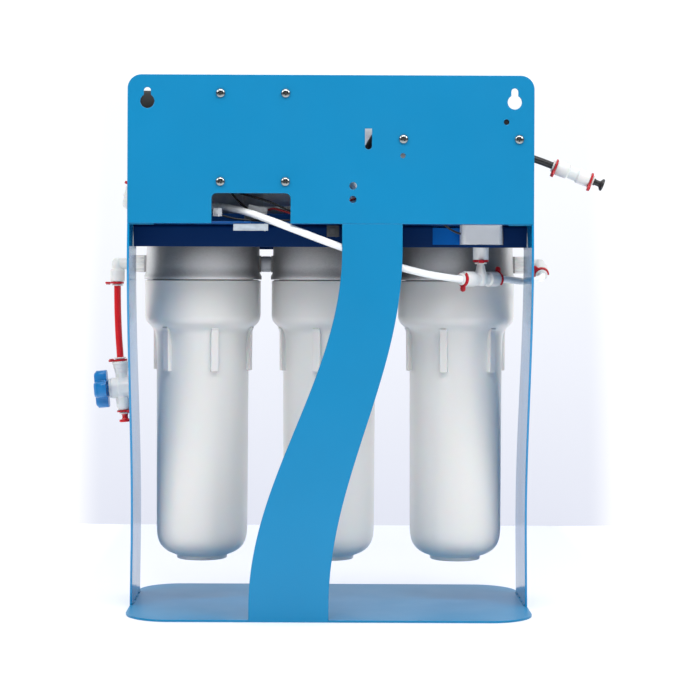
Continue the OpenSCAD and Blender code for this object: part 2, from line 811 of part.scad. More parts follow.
module pump_head() {
    length = pump_end_x - motor_x[1];
    color("#3c4046")
        difference() {
            union() {
                translate([motor_x[1], pump_y, pump_z])
                    rotate([0, 90, 0]) {
                        cylinder(h = 12, r = motor_r);
                        translate([0, 0, -4]) cylinder(h = 4, r = motor_r - 3 - fit);
                        translate([0, 0, 12]) cylinder(h = length - 34, r = motor_r - 4);
                    }
                translate([pump_end_x - 22, pump_y - 31, pump_z - 38]) cube([22, 62, 74]);
                for (dy = [-24, 24])
                    for (dz = [-30, 28])
                        translate([pump_end_x, pump_y + dy, pump_z + dz])
                            rotate([0, 90, 0])
                                cylinder(h = 3, r = 3.6);
                translate([pump_end_x, pump_y, pump_z + 13]) rotate([0, 90, 0]) cylinder(h = 6, r = 10);
                translate([-24, pump_y, pump_z - 44]) cylinder(h = 10, r = 10);
            }
            translate([motor_x[1], pump_y, pump_z])
                rotate([0, 90, 0]) {
                    translate([0, 0, -5]) cylinder(h = 20, r = shaft_r + fit);
                    translate([0, 0, -5]) cylinder(h = 3, r = 12);
                    translate([0, 0, 11]) cylinder(h = 24, r = 30);
                }
            translate([pump_end_x - 4, pump_y, pump_out_at.z])
                rotate([0, 90, 0])
                    cylinder(h = 16, r = port_r);
            translate([pump_in_at.x, pump_y, pump_z - 50]) cylinder(h = 16, r = port_r);
        }
}

// Armature, shaft and the wobble cam that works the pump's diaphragm
module pump_rotor() {
    color("#b5651d")
        translate([motor_x[0], pump_y, pump_z])
            rotate([0, 90, 0]) {
                translate([0, 0, -9]) cylinder(h = 122, r = shaft_r);
                translate([0, 0, 14]) cylinder(h = 58, r = 30);
                translate([0, 0, 74]) cylinder(h = 8, r = 14);
                translate([0, 0, 103]) cylinder(h = 9, r1 = 18, r2 = 12);
            }
}

module pump_bracket() {
    low = [pump_screw_x[0] - 8, rear_y + 7, pump_screw_z[0] - 8];
    high = [pump_screw_x[1] + 8, rear_y + 9, pump_screw_z[1] + 8];
    color("#8d9196")
        difference() {
            union() {
                translate(low) cube(high - low);
                translate([pump_screw_x[0] + 14, rear_y + 8.9, pump_z - 30]) cube([34, 13, 60]);
            }
            for (x = pump_screw_x)
                for (z = pump_screw_z)
                    aim([x, rear_y, z], [0, 1, 0]) cylinder(h = 12, r = screw_r + 0.1);
            translate([-140, pump_y, pump_z]) rotate([0, 90, 0]) cylinder(h = 130, r = motor_r + 0.1);
        }
}

module pump_grommets() {
    color("#222222")
        for (x = pump_screw_x)
            for (z = pump_screw_z)
                aim([x, rear_y + sheet, z], [0, 1, 0]) ring(7, screw_r + 0.1, 5);
}

module pump_elbows() {
    color("whitesmoke") {
        elbow(pump_in_at, [0, 0, 1], pump_z - 44 - pump_in_at.z, [0, 1, 0], pump_reach);
        elbow(pump_out_at, [-1, 0, 0], pump_out_at.x - pump_end_x - 6, [0, 0, -1], pump_reach);
    }
}

module pressure_tube() {
    color("#eef0f2") swept_tube(PRESSURE_ROUTE, tube_r, 10);
}

// ---------- membrane and post filter ----------

module membrane_housing() {
    length = membrane_x[1] - membrane_x[0];
    color("#f4f5f6")
        difference() {
            translate([membrane_x[0], membrane_y, membrane_z])
                rotate([0, 90, 0])
                    difference() {
                        union() {
                            cylinder(h = 5, r1 = membrane_r - 4, r2 = membrane_r + 1);
                            translate([membrane_z - brine_at.z, brine_at.y - membrane_y, 0])
                                cylinder(h = 8, r = 9);
                            translate([0, 0, 5]) cylinder(h = 14, r = membrane_r + 1);
                            translate([0, 0, 18]) cylinder(h = length - 18, r = membrane_r);
                        }
                        translate([0, 0, 13]) cylinder(h = length, r = membrane_r - 4);
                    }
            for (at = [[membrane_y, membrane_z], [brine_at.y, brine_at.z]])
                translate([membrane_x[0] - 1, at[0], at[1]])
                    rotate([0, 90, 0])
                        cylinder(h = 20, r = port_r);
        }
}

module membrane_cap() {
    color("#eceef0")
        translate([membrane_x[1], membrane_y, membrane_z])
            rotate([0, 90, 0])
                difference() {
                    union() {
                        translate([0, 0, -18]) cylinder(h = 26, r = membrane_r + 4, $fn = 96);
                        translate([0, 0, 8]) cylinder(h = 4, r1 = membrane_r + 4, r2 = membrane_r - 2);
                        translate([0, 0, 12]) cylinder(h = 10, r = 11);
                    }
                    translate([0, 0, -19]) cylinder(h = 19.2, r = membrane_r + gap);
                    translate([0, 0, 2]) cylinder(h = 24, r = port_r);
                    translate([0, 0, -1]) cylinder(h = 4, r = 24);
                }
}

module membrane_element() {
    color("#e9e4d4")
        translate([membrane_x[0] + 20, membrane_y, membrane_z])
            rotate([0, 90, 0]) {
                cylinder(h = 256, r = 22);
                translate([0, 0, 240]) cylinder(h = 6, r = 24.6);
            }
}

// Clips that hold the membrane housing on the shelf, and the post filter on top of it
module housing_clips() {
    color("whitesmoke")
        for (x = CLIP_X)
            translate([x, membrane_y, 0])
                rotate([90, 0, 90]) {
                    linear_extrude(18, center = true)
                        difference() {
                            union() {
                                translate([0, membrane_z]) circle(membrane_r + 3);
                                translate([-14, shelf_z + sheet]) square([28, 14]);
                            }
                            translate([0, membrane_z]) circle(membrane_r + 0.02);
                            translate([-40, membrane_z + 10]) square([80, 40]);
                        }
                    linear_extrude(16, center = true)
                        difference() {
                            union() {
                                translate([0, filter_z]) circle(filter_r + 2.6);
                                translate([-14, membrane_z + 22]) square([28, 18]);
                            }
                            translate([0, filter_z]) circle(filter_r + 0.02);
                            translate([-40, filter_z + 12]) square([80, 40]);
                            translate([0, membrane_z]) circle(membrane_r + 0.02);
                        }
                }
}

module membrane_elbows() {
    permeate_at = [end_elbow_x, membrane_y, membrane_z];
    filter_in_at = [end_elbow_x, membrane_y, filter_z];
    color("whitesmoke") {
        elbow(membrane_in_at, [-1, 0, 0], membrane_in_at.x - membrane_x[1] - 22, [0, -1, 0], pump_reach);
        elbow(permeate_at, [1, 0, 0], membrane_x[0] - end_elbow_x, [0, 0, 1], end_reach);
        elbow(brine_at, [1, 0, 0], membrane_x[0] - brine_at.x, brine_dir, end_reach);
        elbow(filter_in_at, [1, 0, 0], filter_x[0] - 12 - end_elbow_x, [0, 0, -1], end_reach);
    }
}

module permeate_tube() {
    color("#2f7fc4") swept_tube(PERMEATE_ROUTE, tube_r, 12);
}

module post_filter() {
    length = filter_x[1] - filter_x[0];
    color("#f7f8f8")
        translate([filter_x[0], membrane_y, filter_z])
            rotate([0, 90, 0])
                difference() {
                    union() {
                        translate([0, 0, -12]) cylinder(h = 14, r = 9.5);
                        cylinder(h = 7, r1 = 16, r2 = filter_r);
                        translate([0, 0, 7]) cylinder(h = length - 14, r = filter_r);
                        translate([0, 0, length - 7]) cylinder(h = 7, r1 = filter_r, r2 = 16);
                        translate([0, 0, length - 2]) cylinder(h = 14, r = 9.5);
                    }
                    translate([0, 0, -14]) cylinder(h = 14, r = port_r);
                    translate([0, 0, length]) cylinder(h = 14, r = port_r);
                }
}

// Tee at the clean end: one branch for the switch, one socket for the tap's tube
module product_tee() {
    color("whitesmoke")
        difference() {
            union() {
                translate(product_at) sphere(7);
                aim(product_at, [-1, 0, 0]) cylinder(h = 18, r = 7.8);
                aim(product_at, [-1, 0, 0]) cylinder(h = 28, r = port_r - fit);
                aim(product_at, [1, 0, 0]) barrel(19);
                aim(product_at, [0, -1, 0]) cylinder(h = 20, r = 7);
            }
            aim(product_at, [1, 0, 0]) socket(19);
            aim(product_at - [30, 0, 0], [1, 0, 0]) cylinder(h = 40, r = 2.2);
            aim(product_at, [0, -1, 0]) translate([0, 0, 8]) cylinder(h = 14, r = 4);
        }
}

module high_pressure_switch() {
    color("#e9ebec")
        aim(product_at - [0, 20, 0], [0, -1, 0]) {
            translate([0, 0, -10]) cylinder(h = 11, r = 4 - fit);
            cylinder(h = 4, r = 9);
            translate([0, 0, 4]) cylinder(h = 14, r = 14);
            translate([0, 0, 18]) cylinder(h = 3, r1 = 14, r2 = 11);
        }
}

// ---------- drain line ----------

module brine_tube() {
    color("#1c1d1f") swept_tube(BRINE_ROUTE, tube_r, 10);
}

module valve_bracket() {
    color("#8d9196")
        difference() {
            union() {
                translate([bracket_screw_x[0] - 8, rear_y + sheet, bracket_screw_z - 7])
                    cube([bracket_screw_x[1] - bracket_screw_x[0] + 16, 1.5, 14]);
                for (x = [bracket_screw_x[0], drain_valve_at.x - 4])
                    translate([x - 8, rear_y + sheet, bracket_screw_z - 22])
                        cube([24, 1.5, 20]);
                translate([drain_valve_at.x - 12, rear_y + sheet, bracket_screw_z - 23.5])
                    cube([24, 44, 1.5]);
            }
            for (x = bracket_screw_x)
                aim([x, rear_y, bracket_screw_z], [0, 1, 0]) cylinder(h = 6, r = screw_r + 0.1);
        }
}

// Solenoid valve on the drain line: body below, coil above
module drain_valve() {
    color("#e6e8ea")
        difference() {
            union() {
                translate(drain_valve_at - [12, 13, 15]) cube([24, 26, 24]);
                for (d = [[1, 0, 0], [-1, 0, 0]]) aim(drain_valve_at, d) barrel(drain_half);
                translate(drain_valve_at + [0, 0, 9]) cylinder(h = 6, r = 10);
                translate(drain_valve_at + [-13, -14, 15]) cube([26, 28, 26]);
                translate(drain_valve_at + [0, 0, 41]) cylinder(h = 3, r = 6, $fn = 6);
            }
            for (d = [[1, 0, 0], [-1, 0, 0]]) aim(drain_valve_at, d) socket(drain_half);
            aim(drain_valve_at - [9, 0, 0], [1, 0, 0]) cylinder(h = 18, r = 2);
        }
}

module drain_tube() {
    color("#1c1d1f") swept_tube(DRAIN_ROUTE, tube_r, 12);
}

// Straight connector at the drain tube's end, with its collets and clips
module drain_link() {
    color("whitesmoke") {
        difference() {
            union() {
                for (d = [link_dir, -link_dir]) aim(link_at, d) barrel(link_half);
                aim(link_at, link_dir) cylinder(h = 8, r = 4.6, center = true);
            }
            for (d = [link_dir, -link_dir]) aim(link_at, d) socket(link_half);
            aim(link_at - 8 * link_dir, link_dir) cylinder(h = 16, r = 2.2);
        }
        for (m = LINK_MOUTHS) aim(m[0], m[1]) collet();
    }
    color("#c1121f")
        for (m = LINK_MOUTHS) aim(m[0], m[1]) collet_clip();
}

module drain_plug() {
    color("#1c1d1f")
        aim(link_at + link_half * link_dir, link_dir) {
            translate([0, 0, -10]) cylinder(h = 21, r = tube_r - 0.02);
            translate([0, 0, 10]) cylinder(h = 1.4, r1 = tube_r, r2 = 5.4);
            translate([0, 0, 11.4]) cylinder(h = 1.8, r = 5.4);
        }
}

// ---------- collets, clips and leads ----------

// Collet in a mouth: local +Z leaves the mouth
module collet() {
    difference() {
        union() {
            translate([0, 0, -2.8]) cylinder(h = 6, r = 4.1);
            translate([0, 0, 2.3]) cylinder(h = 1.4, r = 5.4);
        }
        translate([0, 0, -4]) cylinder(h = 9, r = tube_r + fit);
    }
}

// Clip pushed in between a barrel and its collet's flange
module collet_clip() {
    translate([0, 0, 0.15])
        difference() {
            union() {
                ring(7.2, 4.15, 2);
                translate([5.4, -2.4, 0]) cube([4, 4.8, 2]);
            }
            translate([-9, -3.2, -1]) cube([8, 6.4, 4]);
        }
}

// Leads of the motor, the switches and the drain valve, with their two connector blocks,
// the clips behind the back plate and under the shelf, and the clear guard below the cut-out
module leads() {
    color("#17181a") {
        for (route = [MOTOR_LEAD, BLOCK_LEAD, VALVE_LEAD, SHELF_LEAD, SWITCH_LEAD])
            swept_tube(route, lead_r, 6);
        translate(lead_clip_at) cube(lead_clip, center = true);
        translate(cable_clamp_at) cube(cable_clamp, center = true);
    }
    color("#f1f1ee")
        translate(lead_block_at) rotate([0, lead_block_lean, 0]) cube(lead_block, center = true);
    color("#a9adb1")
        translate(small_block_at) cube(small_block, center = true);
    color("#c4ccd4")
        translate(edge_guard_at) cube(edge_guard, center = true);
}

module collets() {
    color("whitesmoke")
        for (m = MOUTHS) aim(m[0], m[1]) collet();
}

module collet_clips() {
    color("#c1121f")
        for (m = MOUTHS) aim(m[0], m[1]) collet_clip();
}

base_plate();
rear_leg();
left_leg();
right_leg();
shelf();
back_plate();
filter_channel();
pump_screws();
bracket_screws();
head_screws();
head(0);  // head_1
head(1);  // head_2
head(2);  // head_3
bowl(0);  // bowl_1
bowl(1);  // bowl_2
bowl(2);  // bowl_3
o_ring(0);  // o_ring_1
o_ring(1);  // o_ring_2
o_ring(2);  // o_ring_3
cartridge(0);  // cartridge_1
cartridge(1);  // cartridge_2
cartridge(2);  // cartridge_3
nipples();
feed_elbow();
feed_tube();
valve_body();
valve_ball();
valve_knob();
feed_plug();
outlet_elbow();
outlet_tube();
tee();
pressure_switch();
white_tube();
motor_can();
motor_end_bell();
pump_head();
pump_rotor();
pump_bracket();
pump_grommets();
pump_elbows();
pressure_tube();
membrane_housing();
membrane_cap();
membrane_element();
housing_clips();
membrane_elbows();
permeate_tube();
post_filter();
product_tee();
high_pressure_switch();
brine_tube();
valve_bracket();
drain_valve();
drain_tube();
drain_link();
drain_plug();
leads();
collets();
collet_clips();
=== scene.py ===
"""Looks of a frame-mounted reverse osmosis water unit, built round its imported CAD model.

Lengths in the tables below are millimetres, in the CAD frame: +X to the right seen from the
wall side, -Y towards the wall, +Z up. MM turns them into metres where a mesh is made.
"""

import math

import bmesh
import bpy
from mathutils import Matrix, Vector


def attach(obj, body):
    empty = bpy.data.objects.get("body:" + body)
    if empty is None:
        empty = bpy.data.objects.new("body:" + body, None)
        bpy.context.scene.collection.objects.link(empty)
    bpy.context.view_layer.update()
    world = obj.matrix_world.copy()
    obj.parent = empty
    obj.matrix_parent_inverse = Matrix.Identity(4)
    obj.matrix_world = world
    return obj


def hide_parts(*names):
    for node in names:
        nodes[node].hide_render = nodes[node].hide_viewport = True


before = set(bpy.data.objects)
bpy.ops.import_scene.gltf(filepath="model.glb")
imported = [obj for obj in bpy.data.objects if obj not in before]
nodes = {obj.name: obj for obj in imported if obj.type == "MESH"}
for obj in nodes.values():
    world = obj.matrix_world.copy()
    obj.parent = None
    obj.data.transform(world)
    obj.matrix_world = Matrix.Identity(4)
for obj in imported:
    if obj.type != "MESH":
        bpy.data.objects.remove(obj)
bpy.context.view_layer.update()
MM = 0.001

# ---------- named sizes ----------

TUBE_R = 3.175  # quarter-inch tube
BORE_R = TUBE_R + 0.05
COLLET_SEAT_R = 4.15
BARREL_R = 6.7
PORT_R = 6.5
LEAD_R = 0.9
HOUSING_X = (-116.0, 0.0, 116.0)
RIB_TURN = (17.0, -15.0, -18.0)
HOUSING_Y = 12.0
COLLAR_R = 53.0
BOWL_R = 42.2
SEAM_Z = 294.5
PORT_Z = 309.0
SHELF_Z = 343.0
PLATE_Y = -100.0
PUMP_SCREWS = [(x, z) for x in (-95, -39) for z in (379, 455)]
BRACKET_SCREWS = [(62.5, 416), (162, 416)]

VALVE_LEAN = math.radians(5)
VALVE_AT = Vector((-189.4, HOUSING_Y, 195.5))
VALVE_UP = Vector((-math.sin(VALVE_LEAN), 0, math.cos(VALVE_LEAN)))
KNOB_OUT = Vector((-math.cos(VALVE_LEAN), 0, -math.sin(VALVE_LEAN)))

FEED_AT = Vector((-194.5, HOUSING_Y, PORT_Z))
OUTLET_AT = Vector((192.5, HOUSING_Y, PORT_Z))
OUTLET_DIR = Vector((0, -math.cos(math.radians(26)), -math.sin(math.radians(26))))
TEE_AT = Vector((133, -55, 296))
TEE_DIR = Vector((math.cos(math.radians(37)), math.sin(math.radians(37)), 0))
TEE_HALF = 19.5
SWITCH_MOUTH_Z = 313.0
LINK_AT = Vector((213.2, -60, 389.2))
LINK_DIR = Vector((math.cos(math.radians(21)), 0, -math.sin(math.radians(21))))
LINK_HALF = 15.5
X, Y, Z = Vector((1, 0, 0)), Vector((0, 1, 0)), Vector((0, 0, 1))

# ---------- routes of the tubes and leads, as in the CAD source ----------

ROUTES = {
    "feed_hose": [
        (-194.5, 12, 305), (-194.5, 12, 296), (-194.5, 12, 286), (-194.4, 12, 275),
        (-194.1, 12, 263), (-193.6, 12, 251), (-192.9, 12, 239), (-192.1, 12, 228.4),
        (-191.4, 12, 218.5), (-190.4, 12, 206.9),
    ],
    "outlet_hose": [
        (192.5, 7.5, 306.8), (192.5, -0.6, 302.9), (192.5, -7.8, 299.4), (190.8, -13.6, 297),
        (186.2, -18.2, 295.4), (180, -21.8, 294.4), (172, -25.6, 294.3), (164.4, -30.8, 295),
        (158, -35.8, 295.7), (152.2, -40.6, 296), (145.8, -45.4, 296), (139.4, -50.2, 296),
    ],
    "white_hose": [
        (126.6, -59.8, 296), (120.2, -64.6, 296), (113.8, -69.4, 296), (105, -75, 296.9),
        (95, -79.6, 298.3), (84, -83.6, 300.2), (70, -88, 303.4), (56, -91.4, 307.2),
        (40, -93.6, 312.5), (22, -94, 318.6), (6, -94, 324.2), (-12, -94, 330.8),
        (-29, -94, 337.4), (-45, -93.4, 343.4), (-59, -91.4, 348.6), (-72, -86.2, 353),
        (-84, -77.4, 356.2), (-96, -67, 358.4), (-108, -56, 359.2), (-117, -43, 359),
        (-120.5, -28, 358.6), (-118, -14, 358.4), (-110, -2, 358.4), (-98, 4.6, 358.4),
        (-84, 7, 358.4), (-70, 7, 358.4), (-57, 5, 358.3), (-45, 0.8, 358.2),
        (-35, -5.2, 358.1), (-27.6, -13, 358), (-24, -22.6, 358), (-24, -30, 358),
        (-24, -38, 358),
    ],
    "pressure_hose": [
        (8, -45, 423), (8, -45, 415), (8, -45, 407.5), (9.6, -45.4, 398.8), (13, -46.2, 390.6),
        (17.6, -47, 382.8), (21, -47.2, 374.6), (24.4, -46.6, 366.4), (30, -45, 359.4),
        (38.4, -43, 354.8), (49, -40.4, 352.6), (61, -37.2, 352.4), (75, -33.4, 354.4),
        (90, -29.4, 358.4), (105, -25, 363.8), (120, -20.6, 369.6), (134, -15.8, 375.4),
        (147, -9.8, 380.4), (158, -2.6, 383.8), (165, 6.4, 385), (168, 15.6, 385),
        (168, 23, 385), (168, 31, 385),
    ],
    "permeate_hose": [
        (-172, 38, 389), (-172, 38, 402), (-172, 38, 413.7), (-172, 38, 425), (-172, 38, 438),
    ],
    "brine_hose": [
        (-185.2, 27, 368.8), (-182.7, 27, 376.4), (-180, 27, 384.5), (-177.4, 26.4, 392.6),
        (-174, 24.6, 400.4), (-169, 21.4, 407.6), (-161.6, 17.2, 414), (-152, 12.8, 418.8),
        (-140, 9.2, 422), (-126, 7.4, 423.6), (-110, 7, 424), (-94, 7, 424), (-76, 7, 424),
        (-58, 7, 424), (-40, 7, 424), (-24, 5.5, 421.6), (-10, 1.5, 415), (2, -5, 408),
        (12, -12.5, 403.6), (21, -20.5, 403), (28.5, -28, 407), (34.5, -35, 414.6),
        (39, -40.6, 422.2), (45, -46, 427.6), (53, -51.4, 429.4), (62, -56.4, 427.2),
        (70, -60.2, 421.8), (77, -63, 415.6), (85, -65.2, 410.8), (93, -66, 409),
        (101, -66, 409), (109, -66, 409),
    ],
    "drain_hose": [
        (127, -66, 409), (135, -66, 409), (143, -66, 409), (153, -65, 408.2),
        (164, -63.2, 406.2), (175, -61.4, 403.2), (186, -60.3, 399.6), (196, -60, 395.8),
        (203.9, -60, 392.8), (210.6, -60, 390.2),
    ],
    "motor_lead": [
        (-82, -60, 373.5), (-80, -66, 371), (-75, -74, 369), (-67, -79.6, 366.6),
        (-57, -82.6, 363.6), (-47, -83, 359.8), (-38, -82.6, 356), (-28, -81, 352.4),
        (-14, -79, 351.4), (4, -77, 352), (24, -76, 351.4), (46, -75.4, 350),
        (66, -74.6, 349.6), (80, -73.4, 350.4), (91, -72.6, 348.4), (98, -72, 344.6),
        (103.5, -71.8, 340.4), (108.6, -70, 337.4), (114, -67, 335.6),
    ],
    "block_lead": [
        (-88, -60, 373.5), (-86, -66, 370), (-83, -72.6, 366), (-79, -76.6, 362),
        (-75.6, -78, 358.6), (-72, -78, 356.8),
    ],
    "valve_lead": [
        (-54.4, -78, 355.4), (-49.6, -80, 356.6), (-44, -82.4, 355.3), (-38, -83.6, 353.4),
        (-32, -84.4, 351.9), (-20, -85, 351), (-8, -85.5, 352.6), (6, -86, 358),
        (19, -86.4, 364.4), (34, -86.4, 369.5), (52, -86, 373), (68, -85, 377), (82, -83, 384),
        (91, -80.6, 395), (96, -78, 407), (99, -75, 418), (101.8, -72, 425.4), (103.7, -70, 428),
    ],
    "switch_lead": [
        (134, -4.2, 442.5), (134.4, -14, 442.8), (137, -32, 441.4), (142, -54, 438),
        (147, -74, 434.6), (150.4, -85, 432.8), (152.4, -89.6, 430.6), (149, -89.7, 427.6),
        (143, -87, 427), (137.4, -81, 429.6), (132.4, -74, 432.6),
    ],
    "shelf_lead": [
        (-96, -86, 351), (-88, -86, 348.6), (-78, -86, 346.8), (-62, -86.6, 346.1),
        (-46, -87, 346.1), (-30, -87, 346.1), (-14, -86.4, 346.1), (-2, -82, 346.6),
        (4, -74, 348.6),
    ],
}


def added(name, data):
    """A new object in the scene."""
    made = bpy.data.objects.new(name, data)
    bpy.context.scene.collection.objects.link(made)
    return made


# ---------- camera ----------

CAMERA_AT = (-0.012, -1.753, 0.2946)
CAMERA_ROLL = 0.004


def make_camera():
    """A level camera on the wall side, 1.65 m from the plate and as high as the bowls' seam."""
    camera = added("camera", bpy.data.cameras.new("camera"))
    camera.data.lens = 98.9
    camera.data.shift_x = 0.048
    camera.data.shift_y = -0.1
    roll = Matrix.Rotation(CAMERA_ROLL, 4, "Z")
    level = Matrix.Rotation(math.radians(90), 4, "X")
    camera.matrix_world = Matrix.Translation(CAMERA_AT) @ level @ roll
    bpy.context.scene.camera = camera


# ---------- materials ----------


def linear(r, g, b):
    """A display colour of 0 to 255 as linear light."""
    return tuple(
        c / 255 / 12.92 if c <= 10 else ((c / 255 + 0.055) / 1.055) ** 2.4
        for c in (r, g, b)
    )


def joined(tree, kind, **inputs):
    """A new node of a kind, with sockets linked to it by name."""
    node = tree.nodes.new("ShaderNode" + kind)
    for name, source in inputs.items():
        tree.links.new(source, node.inputs[name])
    return node


def ranged(tree, source, low, high, start, end, kind="LINEAR"):
    """A value that goes from start to end as its source goes from low to high."""
    node = joined(tree, "MapRange", Value=source)
    node.interpolation_type = kind
    for name, value in zip(
        ("From Min", "From Max", "To Min", "To Max"), (low, high, start, end)
    ):
        node.inputs[name].default_value = value
    return node.outputs["Result"]


def material(
    name, colour, rough, vary=0.04, patch=14, rough_vary=0.05, grain=900, relief=0.1,
    depth=0.0002, stretch=(1, 1, 1), **sockets
):
    """Moulded, painted or drawn surface: colour and gloss wander in patches, under a fine grain."""
    made = bpy.data.materials.new(name)
    made.use_nodes = True
    tree = made.node_tree
    shader = tree.nodes["Principled BSDF"]
    for socket, value in sockets.items():
        shader.inputs[socket.replace("_", " ")].default_value = value
    place = tree.nodes.new("ShaderNodeTexCoord")
    mapping = joined(tree, "Mapping", Vector=place.outputs["Object"])
    mapping.inputs["Scale"].default_value = stretch

    def noise(scale, detail):
        node = joined(tree, "TexNoise", Vector=mapping.outputs["Vector"])
        node.inputs["Scale"].default_value = scale
        node.inputs["Detail"].default_value = detail
        return node.outputs["Fac"]

    ramp = joined(tree, "ValToRGB", Fac=noise(patch, 3))
    low, high = ramp.color_ramp.elements
    low.position, high.position = 0.3, 0.7
    low.color = (*(c * (1 - vary) for c in colour), 1)
    high.color = (*(min(1, c * (1 + vary)) for c in colour), 1)
    tree.links.new(ramp.outputs["Color"], shader.inputs["Base Color"])

    ends = max(0, rough - rough_vary), rough + rough_vary
    tree.links.new(ranged(tree, noise(patch * 3, 2), 0, 1, *ends), shader.inputs["Roughness"])

    bump = joined(tree, "Bump", Height=noise(grain, 2))
    bump.inputs["Strength"].default_value = relief
    bump.inputs["Distance"].default_value = depth
    tree.links.new(bump.outputs["Normal"], shader.inputs["Normal"])
    return made


def painted_corner_shade(look, reach, depth):
    """Paints shade into a look's colour where other parts stand close over it, as under the
    channel.
    """
    tree = look.node_tree
    shader = tree.nodes["Principled BSDF"]
    link = shader.inputs["Base Color"].links[0]
    near = tree.nodes.new("ShaderNodeAmbientOcclusion")
    near.inputs["Distance"].default_value = reach
    near.samples = 8
    scaled = joined(tree, "VectorMath")
    scaled.operation = "SCALE"
    tree.links.new(link.from_socket, scaled.inputs[0])
    tree.links.new(ranged(tree, near.outputs["AO"], 0.4, 0.82, depth, 1), scaled.inputs["Scale"])
    tree.links.new(scaled.outputs[0], shader.inputs["Base Color"])


def paint(name, colour, rough, vary, relief, shine):
    """Powder coat: an even colour under a very fine grain."""
    return material(name, colour, rough, vary, 9, 0.04, 1300, relief, Specular_IOR_Level=shine)


PAINT = paint("blue_paint", linear(0, 121, 170), 0.36, 0.03, 0.12, 0.35)
# painted shade: a darker copy of the blue paint, for the channel that stands in shadow under the
# shelf
NAVY_PAINTED_SHADE = paint("blue_paint_painted_shade", linear(1, 42, 92), 0.45, 0.05, 0.12, 0.12)
# painted shade: a darker copy of the blue paint, for the shelf and channel under the overhang
INNER_PAINT_PAINTED_SHADE = paint("blue_paint_inner_painted_shade", linear(2, 66, 126), 0.4, 0.05, 0.12, 0.3)
LEG_PAINT = paint("blue_paint_leg", linear(0, 126, 180), 0.15, 0.03, 0.05, 0.6)
# painted light: the tab's own copy of the blue paint, its colour set for how brightly the tab is
# lit
TAB_PAINTED_LIGHT = paint("blue_paint_tab_painted_light", linear(0, 108, 200), 0.4, 0.03, 0.12, 0.15)
HEAD = material(
    "head_plastic", linear(228, 228, 229), 0.4, 0.02, 20, 0.06, 700, 0.06,
    Subsurface_Weight=0.12, Subsurface_Scale=0.004,
)
# painted shade: the heads' colour darkens where the channel and the caps stand close over them
painted_corner_shade(HEAD, 0.08, 0.22)
BOWL = material(
    "bowl_plastic", linear(213, 213, 212), 0.3, 0.025, 16, 0.05, 240, 0.05,
    stretch=(1, 1, 0.12), Subsurface_Weight=0.2, Subsurface_Scale=0.006,
)
WHITE = material(
    "fitting_plastic", linear(218, 219, 218), 0.3, 0.02, 60, 0.05, 1100, 0.05,
    Subsurface_Weight=0.1, Subsurface_Scale=0.002,
)
GREY = material("nipple_plastic", linear(192, 196, 202), 0.4, 0.04, 60)
CLEAR = material("guard_plastic", linear(170, 180, 190), 0.22, 0.12, 160, 0.06, 300, 0.2)
CLIP = material("clip_red", linear(178, 8, 28), 0.28, 0.05, 80, 0.05, 1100, 0.05)
TUBE_RED = material("tube_red", linear(198, 16, 28), 0.25, 0.04, 50, 0.04, 800, 0.04)
TUBE_WHITE = material("tube_white", linear(238, 240, 241), 0.28, 0.02, 50, 0.04, 800, 0.04)
TUBE_CLEAR = material("tube_natural", linear(232, 237, 241), 0.2, 0.02, 50, 0.04, 800, 0.04)
TUBE_BLUE = material("tube_blue", linear(40, 120, 196), 0.25, 0.04, 50, 0.04, 800, 0.04)
TUBE_BLACK = material("tube_black", linear(24, 25, 28), 0.3, 0.08, 50, 0.05, 800, 0.05)
LEAD_BLACK = material("lead_black", linear(17, 17, 19), 0.42, 0.1, 90, 0.06, 900, 0.08)
LEAD_RED = material("lead_red", linear(150, 18, 24), 0.4, 0.06, 90, 0.06, 900, 0.08)
KNOB = material("knob_blue", linear(3, 114, 180), 0.3, 0.04, 60, 0.05, 1000, 0.06)
CHROME = material(
    "screw_chrome", linear(140, 146, 148), 0.17, 0.05, 200, 0.05, 900, 0.05, Metallic=1
)
ZINC = material("bracket_zinc", linear(168, 172, 178), 0.38, 0.08, 40, 0.08, 500, 0.1, Metallic=1)
MOTOR = material(
    "motor_black", linear(8, 10, 14), 0.6, 0.1, 30, 0.06, 900, 0.2, Specular_IOR_Level=0.2
)
PUMP = material("pump_plastic", linear(40, 43, 47), 0.5, 0.08, 30, 0.06, 600, 0.2)
RUBBER = material("seal_rubber", linear(26, 26, 27), 0.6, 0.1, 50, 0.08, 900, 0.15)
COPPER = material("rotor_copper", linear(176, 104, 60), 0.35, 0.1, 70, 0.08, 260, 0.2, Metallic=1)
MEDIA = material("cartridge_media", linear(236, 234, 228), 0.85, 0.04, 120, 0.06, 420, 0.5)
FILM = material("membrane_film", linear(222, 214, 196), 0.4, 0.05, 30, 0.08, 300, 0.15)
CASING = material(
    "casing_plastic", linear(236, 238, 240), 0.28, 0.02, 20, 0.05, 900, 0.05,
    Subsurface_Weight=0.1, Subsurface_Scale=0.003,
)
SWITCH = material("switch_plastic", linear(224, 227, 229), 0.38, 0.03, 60, 0.05, 900, 0.06)

